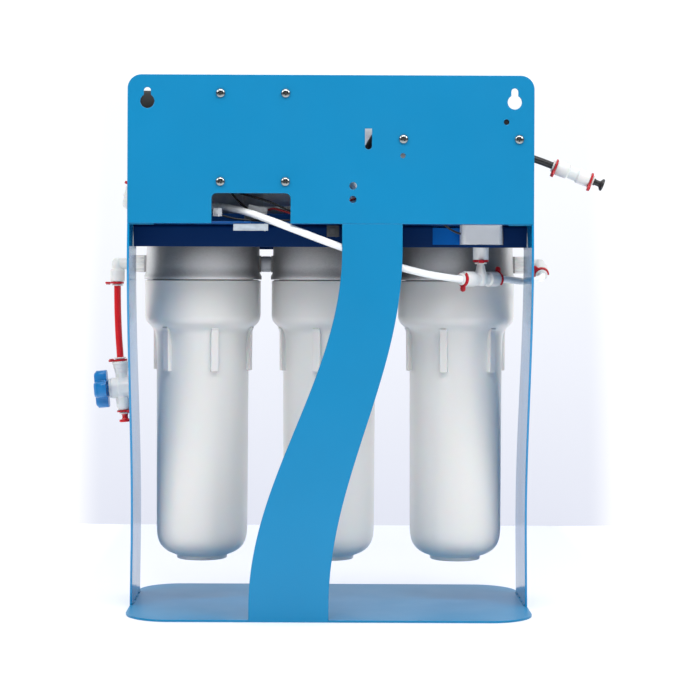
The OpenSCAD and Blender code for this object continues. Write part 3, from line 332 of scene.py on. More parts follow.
CAD_LOOKS = {
    PAINT: "base_plate rear_leg left_leg right_leg back_plate",
    INNER_PAINT_PAINTED_SHADE: "shelf filter_channel",
    CHROME: "pump_screws bracket_screws head_screws valve_ball",
    HEAD: "head_1 head_2 head_3",
    BOWL: "bowl_1 bowl_2 bowl_3",
    RUBBER: "o_ring_1 o_ring_2 o_ring_3 pump_grommets",
    MEDIA: "cartridge_1 cartridge_2 cartridge_3",
    GREY: "nipples",
    WHITE: "feed_elbow valve_body outlet_elbow tee pump_elbows housing_clips membrane_elbows "
    "product_tee drain_link collets",
    KNOB: "valve_knob",
    TUBE_RED: "feed_tube feed_plug",
    TUBE_WHITE: "white_tube outlet_tube",
    TUBE_CLEAR: "pressure_tube",
    TUBE_BLUE: "permeate_tube",
    TUBE_BLACK: "brine_tube drain_tube drain_plug",
    LEAD_BLACK: "leads",
    CLIP: "collet_clips",
    SWITCH: "pressure_switch high_pressure_switch drain_valve",
    MOTOR: "motor_can motor_end_bell",
    PUMP: "pump_head",
    COPPER: "pump_rotor",
    ZINC: "pump_bracket valve_bracket",
    CASING: "membrane_housing membrane_cap post_filter",
    FILM: "membrane_element",
}


def finish_node(name, look, edge):
    """A carried-over CAD part: its material, and its sharp edges broken by a small round."""
    part = nodes[name]
    for slot in part.material_slots:
        slot.material = look
    if name not in ("shelf", "filter_channel"):
        weld = part.modifiers.new("weld", "WELD")
        weld.merge_threshold = 0.00001
        round_edges(part, edge)


def round_edges(piece, edge):
    bevel = piece.modifiers.new("round", "BEVEL")
    bevel.width = edge * MM
    bevel.segments = 2
    bevel.limit_method = "ANGLE"
    bevel.angle_limit = math.radians(35)
    bevel.harden_normals = False


# ---------- mesh helpers ----------


def frame_along(at, along):
    """Matrix that puts local +Z along a direction, with the origin at a point, in millimetres."""
    return Matrix.Translation(at) @ Vector(along).to_track_quat("Z", "Y").to_matrix().to_4x4()


def lathe(bm, profile, place=Matrix(), sides=48, closed=False):
    """Turns a profile of (radius, height) points round local Z; a radius of 0 closes to a point."""
    rings = []
    for radius, height in profile:
        if radius < 1e-6:
            rings.append([bm.verts.new(place @ Vector((0, 0, height)))])
            continue
        ring = [(*polar(radius, 360 * k / sides), height) for k in range(sides)]
        rings.append([bm.verts.new(place @ Vector(point)) for point in ring])
    pairs = list(zip(rings, rings[1:]))
    if closed:
        pairs.append((rings[-1], rings[0]))
    for low, high in pairs:
        for k in range(sides):
            j = (k + 1) % sides
            turns = ((low, k), (low, j), (high, j), (high, k))
            unique = list(dict.fromkeys(ring[i % len(ring)] for ring, i in turns))
            if len(unique) > 2:
                bm.faces.new(unique)


def loft(bm, lower, low, upper, high, place):
    """A closed slab between two outlines of equally many points."""
    floor = [bm.verts.new(place @ Vector((x, y, low))) for x, y in lower]
    roof = [bm.verts.new(place @ Vector((x, y, high))) for x, y in upper]
    bm.faces.new(floor[::-1])
    bm.faces.new(roof)
    for k, (a, b) in enumerate(zip(floor, roof)):
        j = (k + 1) % len(floor)
        bm.faces.new([a, floor[j], roof[j], b])


def prism(bm, outline, low, high, place=Matrix()):
    """A flat outline of (x, y) points, extruded between two heights."""
    loft(bm, outline, low, outline, high, place)


def polar(r, degrees, cx=0.0, cy=0.0):
    """The point at a distance and an angle from a centre."""
    t = math.radians(degrees)
    return cx + r * math.cos(t), cy + r * math.sin(t)


def arc(cx, cy, r, start, end, steps):
    """Points on an arc, from one angle to another in degrees."""
    return [polar(r, start + (end - start) * i / steps, cx, cy) for i in range(steps + 1)]


def piece(name, bm, look, slot, replaces=(), body="unit", edge=0.25, smooth=38):
    """Turns a mesh in millimetres into a piece that rides on a body."""
    bmesh.ops.remove_doubles(bm, verts=bm.verts, dist=1e-4)
    bmesh.ops.recalc_face_normals(bm, faces=bm.faces)
    bm.transform(Matrix.Scale(MM, 4))
    for face in bm.faces:
        face.smooth = True
    for e in bm.edges:
        e.smooth = e.calc_face_angle(0) < math.radians(smooth)
    data = bpy.data.meshes.new(name)
    bm.to_mesh(data)
    bm.free()
    data.materials.append(look)
    made = added(name, data)
    if edge:
        round_edges(made, edge)
    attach(made, body)
    if replaces:
        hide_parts(*replaces)
    return made


def smooth_path(points, steps=6):
    """Points along the smooth curve through a route, in metres."""
    p = [Vector(q) * MM for q in points]
    p = [2 * p[0] - p[1], *p, 2 * p[-1] - p[-2]]
    path = []
    for a, b, c, d in zip(p, p[1:], p[2:], p[3:]):
        for i in range(steps):
            t = i / steps
            path.append(
                0.5
                * (
                    2 * b
                    + (c - a) * t
                    + (2 * a - 5 * b + 4 * c - d) * t * t
                    + (3 * b - a - 3 * c + d) * t**3
                )
            )
    return [*path, p[-2]]


# Each tube and lead: its look and slot, where it leaves its fitting, and its length, in metres
HOSES = (
    ("feed_hose", TUBE_RED, "tube_red", FEED_AT * MM, 0.098),
    ("outlet_hose", TUBE_WHITE, "tube_white", (0.1925, -0.004, 0.301), 0.087),
    ("white_hose", TUBE_WHITE, "tube_white", (0.117, -0.067, 0.296), 0.44),
    ("pressure_hose", TUBE_CLEAR, "tube_white", (0.008, -0.045, 0.412), 0.248),
    ("permeate_hose", TUBE_BLUE, "tube_blue", (-0.172, 0.038, 0.401), 0.049),
    ("brine_hose", TUBE_BLACK, "tube_black", (-0.181, 0.027, 0.380), 0.37),
    ("drain_hose", TUBE_BLACK, "tube_black", (0.139, -0.066, 0.409), 0.087),
)
LEADS = (
    ("motor_lead", LEAD_BLACK, "tube_black", (-0.082, -0.06, 0.3735), 0.216),
    ("block_lead", LEAD_BLACK, "tube_black", (-0.088, -0.06, 0.3735), 0.032),
    ("valve_lead", LEAD_RED, "tube_red", (-0.0544, -0.078, 0.3554), 0.196),
    ("switch_lead", LEAD_BLACK, "tube_black", (0.134, -0.0042, 0.4425), 0.118),
    ("shelf_lead", LEAD_BLACK, "tube_black", (-0.096, -0.086, 0.351), 0.106),
)


def line_piece(name, radius, look, node):
    """A tube or lead: one open curve through its route, riding on the unit."""
    data = bpy.data.curves.new(name, "CURVE")
    data.dimensions = "3D"
    data.bevel_depth = radius * MM
    data.bevel_resolution = 6
    data.use_fill_caps = True
    path = smooth_path(ROUTES[name])
    spline = data.splines.new("POLY")
    spline.points.add(len(path) - 1)
    for point, at in zip(spline.points, path):
        point.co = (*at, 1)
    spline.use_smooth = True
    data.materials.append(look)
    made = added(name, data)
    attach(made, "unit")
    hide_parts(node)
    return made


# ---------- stand ----------

SHEET = 2.0
FOLD = 0.45
FRAME_W, BASE_W, BASE_D, FRAME_H = 350.0, 357.0, 200.0, 471.0
SHELF_FRONT, SHELF_LIP = 84.0, 14.0
CHANNEL_REAR, CHANNEL_DROP = -64.2, 19.4
WINDOW_X, WINDOW_Y, WINDOW_RIM, WINDOW_TAB = (90.0, 152.0), (-76.0, -42.4), 2.4, 1.5
REAR_LEG = ((-69.5, 10.0), (-0.5, 62.0))
SIDE_LEG = ((73.0, 0.0), (154.5, 66.6))
CUT_OUT_X, CUT_OUT_H, CUT_OUT_R = (-102.5, -34.5), 26.0, 4.6
SMALL_HOLES = ((151, 431, 2.4), (62, 401.8, 2.2), (19.3, 375.7, 3.2), (19.1, 364, 3))


def s_edge(z, ends, low, high):
    """Where an S-shaped edge lies at a height, between its ends at two heights."""
    t = min(1, max(0, (z - low) / (high - low)))
    return ends[0] + (ends[1] - ends[0]) * (1 - math.cos(math.pi * t)) / 2


def leg_outline(edges, low, high, bottom, top, steps=48):
    heights = [bottom + (top - bottom) * i / steps for i in range(steps + 1)]
    return [(s_edge(z, edges[0], low, high), z) for z in heights] + [
        (s_edge(z, edges[1], low, high), z) for z in reversed(heights)
    ]


def rounded(x0, y0, x1, y1, radii, steps=10):
    """Outline of a box with its own radius at each corner, from the low left one round."""
    corners = ((x0, y0, 180), (x1, y0, 270), (x1, y1, 0), (x0, y1, 90))
    points = []
    for (x, y, start), r in zip(corners, radii):
        if r == 0:
            points.append((x, y))
            continue
        cx = x + r if x == x0 else x - r
        cy = y + r if y == y0 else y - r
        points += arc(cx, cy, r, start, start + 90, steps)
    return points


def sheet_part(name, outlines, place, node, look=PAINT, thick=SHEET):
    """A flat sheet with openings, its edges rounded as by powder coat: it replaces a CAD node."""
    data = bpy.data.curves.new(name, "CURVE")
    data.dimensions = "2D"
    data.fill_mode = "BOTH"
    data.extrude = (thick / 2 - FOLD) * MM
    data.bevel_depth = FOLD * MM
    data.offset = -FOLD * MM
    data.bevel_resolution = 2
    for outline in outlines:
        spline = data.splines.new("POLY")
        spline.points.add(len(outline) - 1)
        for point, (x, y) in zip(spline.points, outline):
            point.co = (x * MM, y * MM, 0, 1)
        spline.use_cyclic_u = True
    flat = bpy.data.objects.new(name + "_curve", data)
    bm = bmesh.new()
    mesh = bpy.data.meshes.new_from_object(flat)
    bm.from_mesh(mesh)
    bpy.data.objects.remove(flat)
    bpy.data.meshes.remove(mesh)
    bm.transform(Matrix.Scale(1 / MM, 4))
    bm.transform(place @ Matrix.Translation((0, 0, thick / 2)))
    made = piece(name, bm, look, "blue_paint", [node], edge=0, smooth=50)
    across = place.to_3x3() @ Vector((0, 0, 1))
    for face in made.data.polygons:
        face.use_smooth = abs(face.normal.dot(across)) < 0.999
    return made


def upright(y):
    """Places a drawing of X and Z in the plane of that Y, its thickness towards +Y."""
    return Matrix(((1, 0, 0, 0), (0, 0, 1, y), (0, 1, 0, 0), (0, 0, 0, 1)))


def keyhole(x, z):
    """A round entry of 6.1 mm radius with a 3 mm slot above it."""
    half = math.degrees(math.asin(3 / 6.1))
    return arc(x, z, 6.1, 90 + half, 450 - half, 28) + arc(x, z + 9, 3, 0, 180, 12)


def make_stand():
    left, right, low, high = -FRAME_W / 2, FRAME_W / 2, SHELF_Z, FRAME_H
    plate = [rounded(left, low, right, high, (0, 0, 12, 12), 14)]
    shoulder = low + CUT_OUT_H - CUT_OUT_R
    plate[0][:2] = [
        (left, low), (CUT_OUT_X[0], low), (CUT_OUT_X[0], shoulder),
        *arc(CUT_OUT_X[0] + CUT_OUT_R, shoulder, CUT_OUT_R, 180, 90, 8),
        *arc(CUT_OUT_X[1] - CUT_OUT_R, shoulder, CUT_OUT_R, 90, 0, 8),
        (CUT_OUT_X[1], low), (right, low),
    ]
    plate += [keyhole(x, 448) for x in (-158, 158)]
    plate += [arc(x, z, 2.1, 0, 348, 20) for x, z in PUMP_SCREWS + BRACKET_SCREWS]
    plate += [arc(x, z, r, 0, 348, 24) for x, z, r in SMALL_HOLES]
    plate.append(arc(32.3, 410, 3, 180, 360, 12) + [(35.3, 425), (29.3, 425)])
    sheet_part("back_sheet", plate, upright(PLATE_Y), "back_plate")

    rear = leg_outline(REAR_LEG, 13, 320, 0, SHELF_Z)
    sheet_part("rear_leg_sheet", [rear], upright(PLATE_Y), "rear_leg")

    base = rounded(-BASE_W / 2, -BASE_D / 2, BASE_W / 2, BASE_D / 2, (40,) * 4, 22)
    nearest = base.index(min(base, key=lambda p: (p[1], abs(p[0] + 138.5))))
    rim = PLATE_Y + SHEET
    (x0, _), (x1, _) = REAR_LEG
    base[nearest + 1 : nearest + 1] = [(x0, PLATE_Y), (x0, rim), (x1, rim), (x1, PLATE_Y)]
    sheet_part("base_sheet", [base], Matrix(), "base_plate")

    rise = SHELF_Z - SHEET
    lean = math.atan((BASE_W - FRAME_W) / 2 / rise)
    side = [(y, z - SHEET) for y, z in leg_outline(SIDE_LEG, 54, 336, SHEET, SHELF_Z - 0.06)]
    turned = Matrix(((0, 0, 1, -SHEET), (1, 0, 0, PLATE_Y), (0, 1, 0, 0), (0, 0, 0, 1)))
    foot = Matrix.Translation((BASE_W / 2, 0, SHEET + 0.03))
    right_leg = foot @ Matrix.Rotation(-lean, 4, "Y") @ turned
    sheet_part("right_leg_sheet", [side], right_leg, "right_leg", LEG_PAINT)
    mirror = Matrix.Scale(-1, 4, X)
    sheet_part("left_leg_sheet", [side], mirror @ right_leg, "left_leg", LEG_PAINT)


def folded(points, thick=SHEET, bend=1.4):
    """Outline of a folded sheet: the path of its outer side, with a round at every fold."""
    p = [Vector((*q, 0)) for q in points]
    outer, inner = [p[0]], [p[0] + thick * left_of(p[0], p[1])]
    for a, b, c in zip(p, p[1:], p[2:]):
        into, out = left_of(a, b), left_of(b, c)
        hub = b + (bend + thick) * (into + out)
        for i in range(7):
            turn = into.lerp(out, i / 6).normalized()
            outer.append(hub - (bend + thick) * turn)
            inner.append(hub - bend * turn)
    outer.append(p[-1])
    inner.append(p[-1] + thick * left_of(p[-2], p[-1]))
    return [(q.x, q.y) for q in outer + inner[::-1]]


def left_of(a, b):
    """The unit vector square to the way from a to b, on its left."""
    d = (b - a).normalized()
    return Vector((-d.y, d.x, 0))


ACROSS = Matrix(((0, 0, 1, 0), (1, 0, 0, 0), (0, 1, 0, 0), (0, 0, 0, 1)))


def box(bm, low, high):
    """A box between two corners."""
    outline = [(low[0], low[1]), (high[0], low[1]), (high[0], high[1]), (low[0], high[1])]
    prism(bm, outline, low[2], high[2])


def make_shelf():
    """The shelf with its front lip, the channel below it and the tab behind its window."""
    low, high = PLATE_Y + SHEET, SHELF_FRONT
    bm, cut = bmesh.new(), bmesh.new()
    profile = folded([(low, SHELF_Z), (high, SHELF_Z), (high, SHELF_Z + SHEET + SHELF_LIP)])
    prism(bm, profile, -FRAME_W / 2, FRAME_W / 2, ACROSS)
    box(cut, (WINDOW_X[0], WINDOW_Y[0], SHELF_Z - 1), (WINDOW_X[1], WINDOW_Y[1], SHELF_Z + 4))
    box(cut, (-69, PLATE_Y - 1, SHELF_Z - 1), (-33, PLATE_Y + 12, SHELF_Z + 4))
    # the shelf takes the darker copy of the blue paint: painted shade
    piece_from(carved(bm, cut), "shelf_sheet", INNER_PAINT_PAINTED_SHADE, "blue_paint", "shelf")

    half, drop = FRAME_W / 2 - SHEET - 0.3, SHELF_Z - CHANNEL_DROP
    bm, cut = bmesh.new(), bmesh.new()
    top, rear = SHELF_Z - 0.02, CHANNEL_REAR
    profile = folded([(high, drop), (high, top), (rear, top), (rear, drop)])
    prism(bm, profile, -half, half, ACROSS)
    foot = drop + WINDOW_RIM
    box(cut, (WINDOW_X[0], rear - 1, foot), (WINDOW_X[1], WINDOW_Y[1], SHELF_Z + 1))
    # the channel takes the darker copy of the blue paint: painted shade
    piece_from(carved(bm, cut), "channel_sheet", NAVY_PAINTED_SHADE, "blue_paint", "filter_channel")

    bm = bmesh.new()
    (x0, x1), y = WINDOW_X, WINDOW_Y[1]
    box(bm, (x0 + 0.4, y, foot), (x1 - 0.4, y + WINDOW_TAB, SHELF_Z - 0.3))
    piece("window_tab", bm, TAB_PAINTED_LIGHT, "blue_paint", edge=0.3)


def piece_from(mesh, name, look, slot, node):
    bm = bmesh.new()
    bm.from_mesh(mesh)
    bpy.data.meshes.remove(mesh)
    return piece(name, bm, look, slot, [node], edge=0.3)


def weld_bead(bm, start, end, r=0.9):
    """A short rippled run of weld along a joint."""
    along = Vector(end) - Vector(start)
    count = max(3, round(along.length / 1.6))
    place = frame_along(start, along)
    profile = [(0, 0)]
    for i in range(count):
        z = along.length * (i + 0.5) / count
        profile += [(r * 0.72, z - 0.62), (r, z), (r * 0.72, z + 0.62)]
    lathe(bm, [*profile, (0, along.length)], place, 12)


def make_welds():
    bm = bmesh.new()
    y, z = PLATE_Y + SHEET + 0.3, SHELF_Z - 0.4
    for low, high in ((-173.5, -152), (153, 173.5)):
        weld_bead(bm, (low, y, z), (high, y, z))
    for side in (-1, 1):
        x = side * (BASE_W / 2 - SHEET - 0.2)
        for k in range(4):
            y = PLATE_Y + SIDE_LEG[0][0] + 8 + k * 20
            weld_bead(bm, (x, y, SHEET + 0.2), (x, y + 10, SHEET + 0.2), 0.7)
    piece("weld_beads", bm, PAINT, "blue_paint", edge=0)


# ---------- filter housings ----------


def turned_profile(points, rounds):
    """A profile whose corners are rounded: rounds gives a radius for each inner point."""
    out = [points[0]]
    for (a, b, c), r in zip(zip(points, points[1:], points[2:]), rounds):
        a, b, c = Vector((*a, 0)), Vector((*b, 0)), Vector((*c, 0))
        r = min(r, (a - b).length * 0.48, (c - b).length * 0.48)
        if r <= 0:
            out.append((b.x, b.y))
            continue
        start, end = b + (a - b).normalized() * r, b + (c - b).normalized() * r
        for i in range(6):
            t = i / 5
            q = (1 - t) ** 2 * start + 2 * t * (1 - t) * b + t * t * end
            out.append((q.x, q.y))
    return [*out, points[-1]]


def make_bowl(i):
    """Bowl with its collar, six grip ribs and foot ring, hollow inside."""
    bm = bmesh.new()
    place = Matrix.Translation((HOUSING_X[i], HOUSING_Y, 0))
    outer = turned_profile(
        [
            (COLLAR_R - 2, SEAM_Z), (COLLAR_R - 2, SEAM_Z - 0.7), (COLLAR_R, SEAM_Z - 0.7),
            (COLLAR_R, 260), (COLLAR_R - 2.2, 255), (BOWL_R + 1.6, 249), (BOWL_R, 238),
            (BOWL_R - 0.7, 66), (BOWL_R - 1.4, 59.5), (BOWL_R - 3.2, 54), (BOWL_R - 6.2, 49.8),
            (BOWL_R - 10.6, 46.4), (BOWL_R - 16, 44.2), (23.2, 43.4), (22.8, 40), (19.5, 40),
            (18.5, 42.2), (0, 42.2),
        ],
        [0.2, 0.4, 3.5, 5, 5, 9, 6, 3, 3, 3, 3, 3, 0.5, 0.6, 0.6, 0.8],
    )
    inner = [
        (0, 54), (11, 54), (12.5, 52.5), (12.5, 46.2), (25, 46.2), (BOWL_R - 11, 49),
        (BOWL_R - 6.8, 53.4), (BOWL_R - 4.6, 60), (BOWL_R - 3, 238), (BOWL_R - 1.6, 264),
        (46.3, 264), (46.3, SEAM_Z),
    ]
    lathe(bm, outer + inner, place, 120)
    bmesh.ops.bridge_loops(bm, edges=[e for e in bm.edges if e.is_boundary])
    for k in range(6):
        turn = math.radians(-90 + RIB_TURN[i] + 60 * k)
        rib = place @ Matrix.Rotation(turn, 4, "Z") @ upright_rib()
        side = [(BOWL_R - 1.8, 212), *arc(BOWL_R + 2.9, 213, 1, -90, 0, 4), (BOWL_R + 4.1, 247),
                *arc(BOWL_R + 9.1, 247, 5, 180, 130, 5), (BOWL_R - 1.8, 255)]
        prism(bm, side, -3.4, 3.4, rib)
    node = f"bowl_{i + 1}"
    piece(node + "_shell", bm, BOWL, "bowl_plastic", [node], node, edge=0.5)


def upright_rib():
    """Places a drawing of radius and height in a plane through the axis."""
    return Matrix(((1, 0, 0, 0), (0, 0, -1, 0), (0, 1, 0, 0), (0, 0, 0, 1)))


# ---------- push-fit fittings ----------


def barrel(bm, reach, place):
    """A push-fit barrel from the origin to its mouth: neck, shoulder and recessed collet seat."""
    neck, bore, seat = BARREL_R - 1.2, BORE_R, COLLET_SEAT_R
    lathe(
        bm,
        [
            (0, 0), (neck, 0), (neck, reach - 11.8), (neck + 0.5, reach - 11.2),
            (BARREL_R, reach - 10.6), (BARREL_R, reach - 1), (BARREL_R - 0.6, reach),
            (seat, reach), (seat, reach - 3), (bore, reach - 3), (bore, reach - 14),
            (0, reach - 14),
        ],
        place,
    )


def collet(bm, place):
    lathe(
        bm,
        [(4.1, -2.8), (4.1, 2.3), (5.4, 2.5), (5.4, 3.5), (4.9, 3.7), (BORE_R, 3.7),
         (BORE_R, -2.8)],
        place,
        closed=True,
    )


def collet_clip(bm, place):
    """An open ring with a ribbed grip tab, pushed in behind a collet's flange."""
    inner, outer, gape = 4.2, 7.0, 142
    upper = arc(0, 0, outer, 22, gape, 14)
    lower = arc(0, 0, outer, -gape, -22, 14)
    tab = [(9.6, -2.5), *arc(8.4, 0, 2.8, -60, 60, 8), (9.6, 2.5)]
    hook = arc(0, 0, inner, gape, -gape, 26)
    prism(bm, [*lower, *tab, *upper, *hook], 0.2, 1.9, place)
    for k in range(3):
        x = 7.1 + 1.3 * k
        rib = [(x - 0.35, -2.3), (x + 0.35, -2.3), (x + 0.35, 2.3), (x - 0.35, 2.3)]
        prism(bm, rib, 1.6, 2.9, place)


def elbow(bm, centre, arm_dir, arm, mouth_dir, reach):
    """Elbow: threaded arm with its fluted grip, round corner and push-fit barrel."""
    corner = BARREL_R - 1.1
    a = frame_along(centre, arm_dir)
    ball = [polar(corner, t) for t in range(-90, 91, 10)]
    ball[0], ball[-1] = (0, -corner), (0, corner)
    lathe(bm, ball, a)
    neck = BARREL_R - 1.5
    lathe(bm, [(0, 0), (neck, 0), (neck, arm - 10.5), (0, arm - 10.5)], a)
    fluted(bm, 7.8, 7.3, arm - 11, arm, 12, a)
    thread = PORT_R - 0.05
    screwed_in = [(0, -1), (thread, -1), (thread, 9.4), (thread - 0.55, 10), (0, 10)]
    lathe(bm, [(r, arm + z) for r, z in screwed_in], a)
    barrel(bm, reach, frame_along(centre, mouth_dir))


def fluted(bm, outer, inner, low, high, count, place):
    """A grip with rounded lands and shallow flutes."""
    outline = []
    for k in range(count):
        for share, r in ((0.0, outer), (0.22, outer), (0.36, inner), (0.64, inner), (0.78, outer)):
            outline.append(polar(r, 360 * (k + share) / count))
    prism(bm, outline, low, high, place)


def tube_mouths():
    """Place and way out of every push-fit mouth on the unit, as in the CAD source."""
    inlet, outlet = Vector((-24, -45, 358)), Vector((8, -45, 430))
    feed_in, product = Vector((168, 38, 385)), Vector((134, 38, 442.5))
    brine, brine_out = Vector((-186.5, 27, 365)), Vector((1, 0, 3)).normalized()
    solenoid = Vector((118, -66, 409))
    return [
        (FEED_AT - 16.6 * Z, -Z),
        (VALVE_AT + 24 * VALVE_UP, VALVE_UP),
        (VALVE_AT - 20.5 * VALVE_UP, -VALVE_UP),
        (OUTLET_AT + 18 * OUTLET_DIR, OUTLET_DIR),
        (TEE_AT - TEE_HALF * TEE_DIR, -TEE_DIR),
        (TEE_AT + TEE_HALF * TEE_DIR, TEE_DIR),
        (Vector((TEE_AT.x, TEE_AT.y, SWITCH_MOUTH_Z)), -Z),
        (inlet + 18 * Y, Y),
        (outlet - 18 * Z, -Z),
        (feed_in - 18 * Y, -Y),
        (Vector((-172, 38, 401)), Z),
        (Vector((-172, 38, 426.5)), -Z),
        (brine + 16 * brine_out, brine_out),
        (solenoid - 21 * X, -X),
        (solenoid + 21 * X, X),
        (product + 19 * X, X),
    ]


# Where each mouth's clip has its grip tab, in the same order
CLIP_TABS = (
    -X, -X - 0.4 * Y, X - Y, Z - X, -Z, Z, -Y, Z, -Y, Z, -Y, -Y, -X - Y, Z, -Y, Z,
)


def clip_place(place, towards):
    """The mouth's place turned about its tube, so that the clip's tab points a given way."""
    across = place.to_3x3().inverted() @ towards
    return place @ Matrix.Rotation(math.atan2(across.y, across.x), 4, "Z")


def make_fittings():
    elbows = {
        "feed_elbow": [(FEED_AT, X, 25.1, -Z, 16.6)],
        "outlet_elbow": [(OUTLET_AT, -X, 23.1, OUTLET_DIR, 18)],
        "pump_elbows": [
            (Vector((-24, -45, 358)), Z, 15, Y, 18),
            (Vector((8, -45, 430)), -X, 14, -Z, 18),
        ],
        "membrane_elbows": [
            (Vector((168, 38, 385)), -X, 24, -Y, 18),
            (Vector((-172, 38, 385)), X, 12, Z, 16),
            (Vector((-186.5, 27, 365)), X, 26.5, Vector((1, 0, 3)).normalized(), 16),
            (Vector((-172, 38, 442.5)), X, 22, -Z, 16),
        ],
    }
    for node, group in elbows.items():
        bm = bmesh.new()
        for one in group:
            elbow(bm, *one)
        piece(node + "_fitting", bm, WHITE, "fitting_plastic", [node])
    collars, clips = bmesh.new(), bmesh.new()
    for (at, out), towards in zip(tube_mouths(), CLIP_TABS):
        place = frame_along(at, out)
        collet(collars, place)
        collet_clip(clips, clip_place(place, towards))
    piece("collet_rings", collars, WHITE, "fitting_plastic", ["collets"], edge=0.15)
    piece("lock_clips", clips, CLIP, "clip_red", ["collet_clips"], edge=0.25)


def make_tee():
    bm = bmesh.new()
    for d in (TEE_DIR, -TEE_DIR):
        barrel(bm, TEE_HALF, frame_along(TEE_AT, d))
    stem = [
        (0, -6.2), (4, -5.8), (6.1, -3), (6.3, 0), (6.1, 3.4), (5.2, 5.8), (4.2, 8.4), (3.7, 11.4),
        (TUBE_R, 12), (TUBE_R, 28), (0, 28),
    ]
    lathe(bm, stem, Matrix.Translation(TEE_AT))
    band = [(6.0, -0.9), (6.25, -0.9), (6.25, 0.9), (6.0, 0.9)]
    lathe(bm, band, frame_along(TEE_AT, TEE_DIR), closed=True)
    return piece("tee_fitting", bm, WHITE, "fitting_plastic", ["tee"])


def make_link():
    """The straight connector at the drain tube's end, with collets and clips."""
    bm = bmesh.new()
    for d in (LINK_DIR, -LINK_DIR):
        barrel(bm, LINK_HALF, frame_along(LINK_AT, d))
    lathe(bm, [(4.6, -4.6), (5.6, -4.6), (5.2, -1.5), (5.2, 1.5), (5.6, 4.6), (4.6, 4.6)],
          frame_along(LINK_AT, LINK_DIR), closed=True)
    red = bmesh.new()
    for d in (LINK_DIR, -LINK_DIR):
        place = frame_along(LINK_AT + LINK_HALF * d, d)
        collet(bm, place)
        collet_clip(red, clip_place(place, 0.3 * X - 0.5 * Y - Z))
    link = piece("drain_connector", bm, WHITE, "fitting_plastic", ["drain_link"])
    piece("drain_connector_clips", red, CLIP, "clip_red")
    bm = bmesh.new()
    place = frame_along(LINK_AT + LINK_HALF * LINK_DIR, LINK_DIR)
    lathe(
        bm,
        [(0, -10), (TUBE_R - 0.02, -10), (TUBE_R - 0.02, 5.4), (2.6, 6), (2.6, 9.4), (TUBE_R, 10),
         (5.2, 11.3), (5.4, 11.6), (5.4, 12.9), (5.0, 13.2), (1.6, 13.2), (1.2, 12.4), (0, 12.4)],
        place,
    )
    node = "drain_plug"
    return link, piece("drain_stopper", bm, TUBE_BLACK, "tube_black", [node], node, edge=0.12)


def make_valve():
    """Quarter-turn valve: socketed body with stepped cone, cross boss, ball, knob and plug."""
    turned = frame_along(VALVE_AT, VALVE_UP)
    cross = frame_along(VALVE_AT, KNOB_OUT)
    bm = bmesh.new()
    lathe(
        bm,
        [(BORE_R, 10), (BORE_R, 21), (COLLET_SEAT_R, 21), (COLLET_SEAT_R, 24), (7.1, 24),
         (7.7, 23.4), (7.7, 21.8), (7.3, 21.3), (6.9, 17.8), (6.4, 17.3), (6.1, 14.2),
         (5.7, 13.8), (5.6, 8),
         (7.6, 5), (8.6, 0), (7.6, -6), (6.5, -9.4), (6.9, -9.9), (6.9, -17.4), (6.2, -19.4),
         (5.6, -20.5), (COLLET_SEAT_R, -20.5), (COLLET_SEAT_R, -17.5), (BORE_R, -17.5),
         (BORE_R, -6.5), (2.4, -6.4), (2.4, 9.8)],
        turned, 56, closed=True,
    )
    lathe(
        bm,
        [(0, -9.4), (9.2, -9.4), (10.1, -8.6), (10.1, 3.2), (9.6, 3.6), (9.6, 9.6), (8.9, 10.4),
         (8.9, 12), (3.05, 12), (3.05, 7.9), (0, 7.9)],
        cross, 56,
    )
    body = piece("valve_casting", bm, WHITE, "fitting_plastic", ["valve_body"])

    bm = bmesh.new()
    ball = [polar(7.4, t) for t in range(-80, 70, 10)]
    lathe(bm, [(0, -7.4), *ball, (3, 6.9), (3, 14.4), (0, 14.4)], cross)
    node = "valve_ball"
    ball_piece = piece("valve_ball_turned", bm, CHROME, node, [node], "feed_knob", edge=0.1)

    bm = bmesh.new()
    reach, half, r = 17.0, 7.2, 4.0
    outline = []
    for k in range(4):
        turn = Matrix.Rotation(math.radians(90 * k), 2)
        lobe = [
            (reach - 5.6, -half), *arc(reach - r, -half + r, r, -90, 0, 6),
            *arc(reach - r, half - r, r, 0, 90, 6), (reach - 5.6, half),
            *arc(half + 1.2, half + 1.2, 1.2, 270, 180, 3),
        ]
        outline += [tuple(turn @ Vector(point)) for point in lobe]
    prism(bm, outline, 13.4, 22.6, cross)
    roof = [(x * 0.86, y * 0.86) for x, y in outline]
    loft(bm, outline, 22.6, roof, 24.8, cross)
    lathe(bm, [(0, 12.4), (7, 12.4), (7, 15), (0, 15)], cross)
    lathe(bm, [(0, 24.6), (5.2, 24.6), (5.2, 25.1), (4.6, 25.5), (0, 25.5)], cross)
    knob = piece("valve_handle", bm, KNOB, "knob_blue", ["valve_knob"], "feed_knob", edge=0.6)

    bm = bmesh.new()
    lathe(
        bm,
        [(0, -10), (TUBE_R - 0.02, -10), (TUBE_R - 0.02, 4.6), (2.7, 5.2), (2.7, 7.6),
         (TUBE_R, 8.4), (5.3, 9), (5.6, 9.4), (5.6, 10.8), (5.2, 11.2), (0, 11.2)],
        frame_along(VALVE_AT - 20.5 * VALVE_UP, -VALVE_UP),
    )
    plug = piece("feed_stopper", bm, TUBE_RED, "tube_red", ["feed_plug"], "feed_plug", edge=0.12)
    return [body, ball_piece, knob, plug]


# ---------- screws ----------


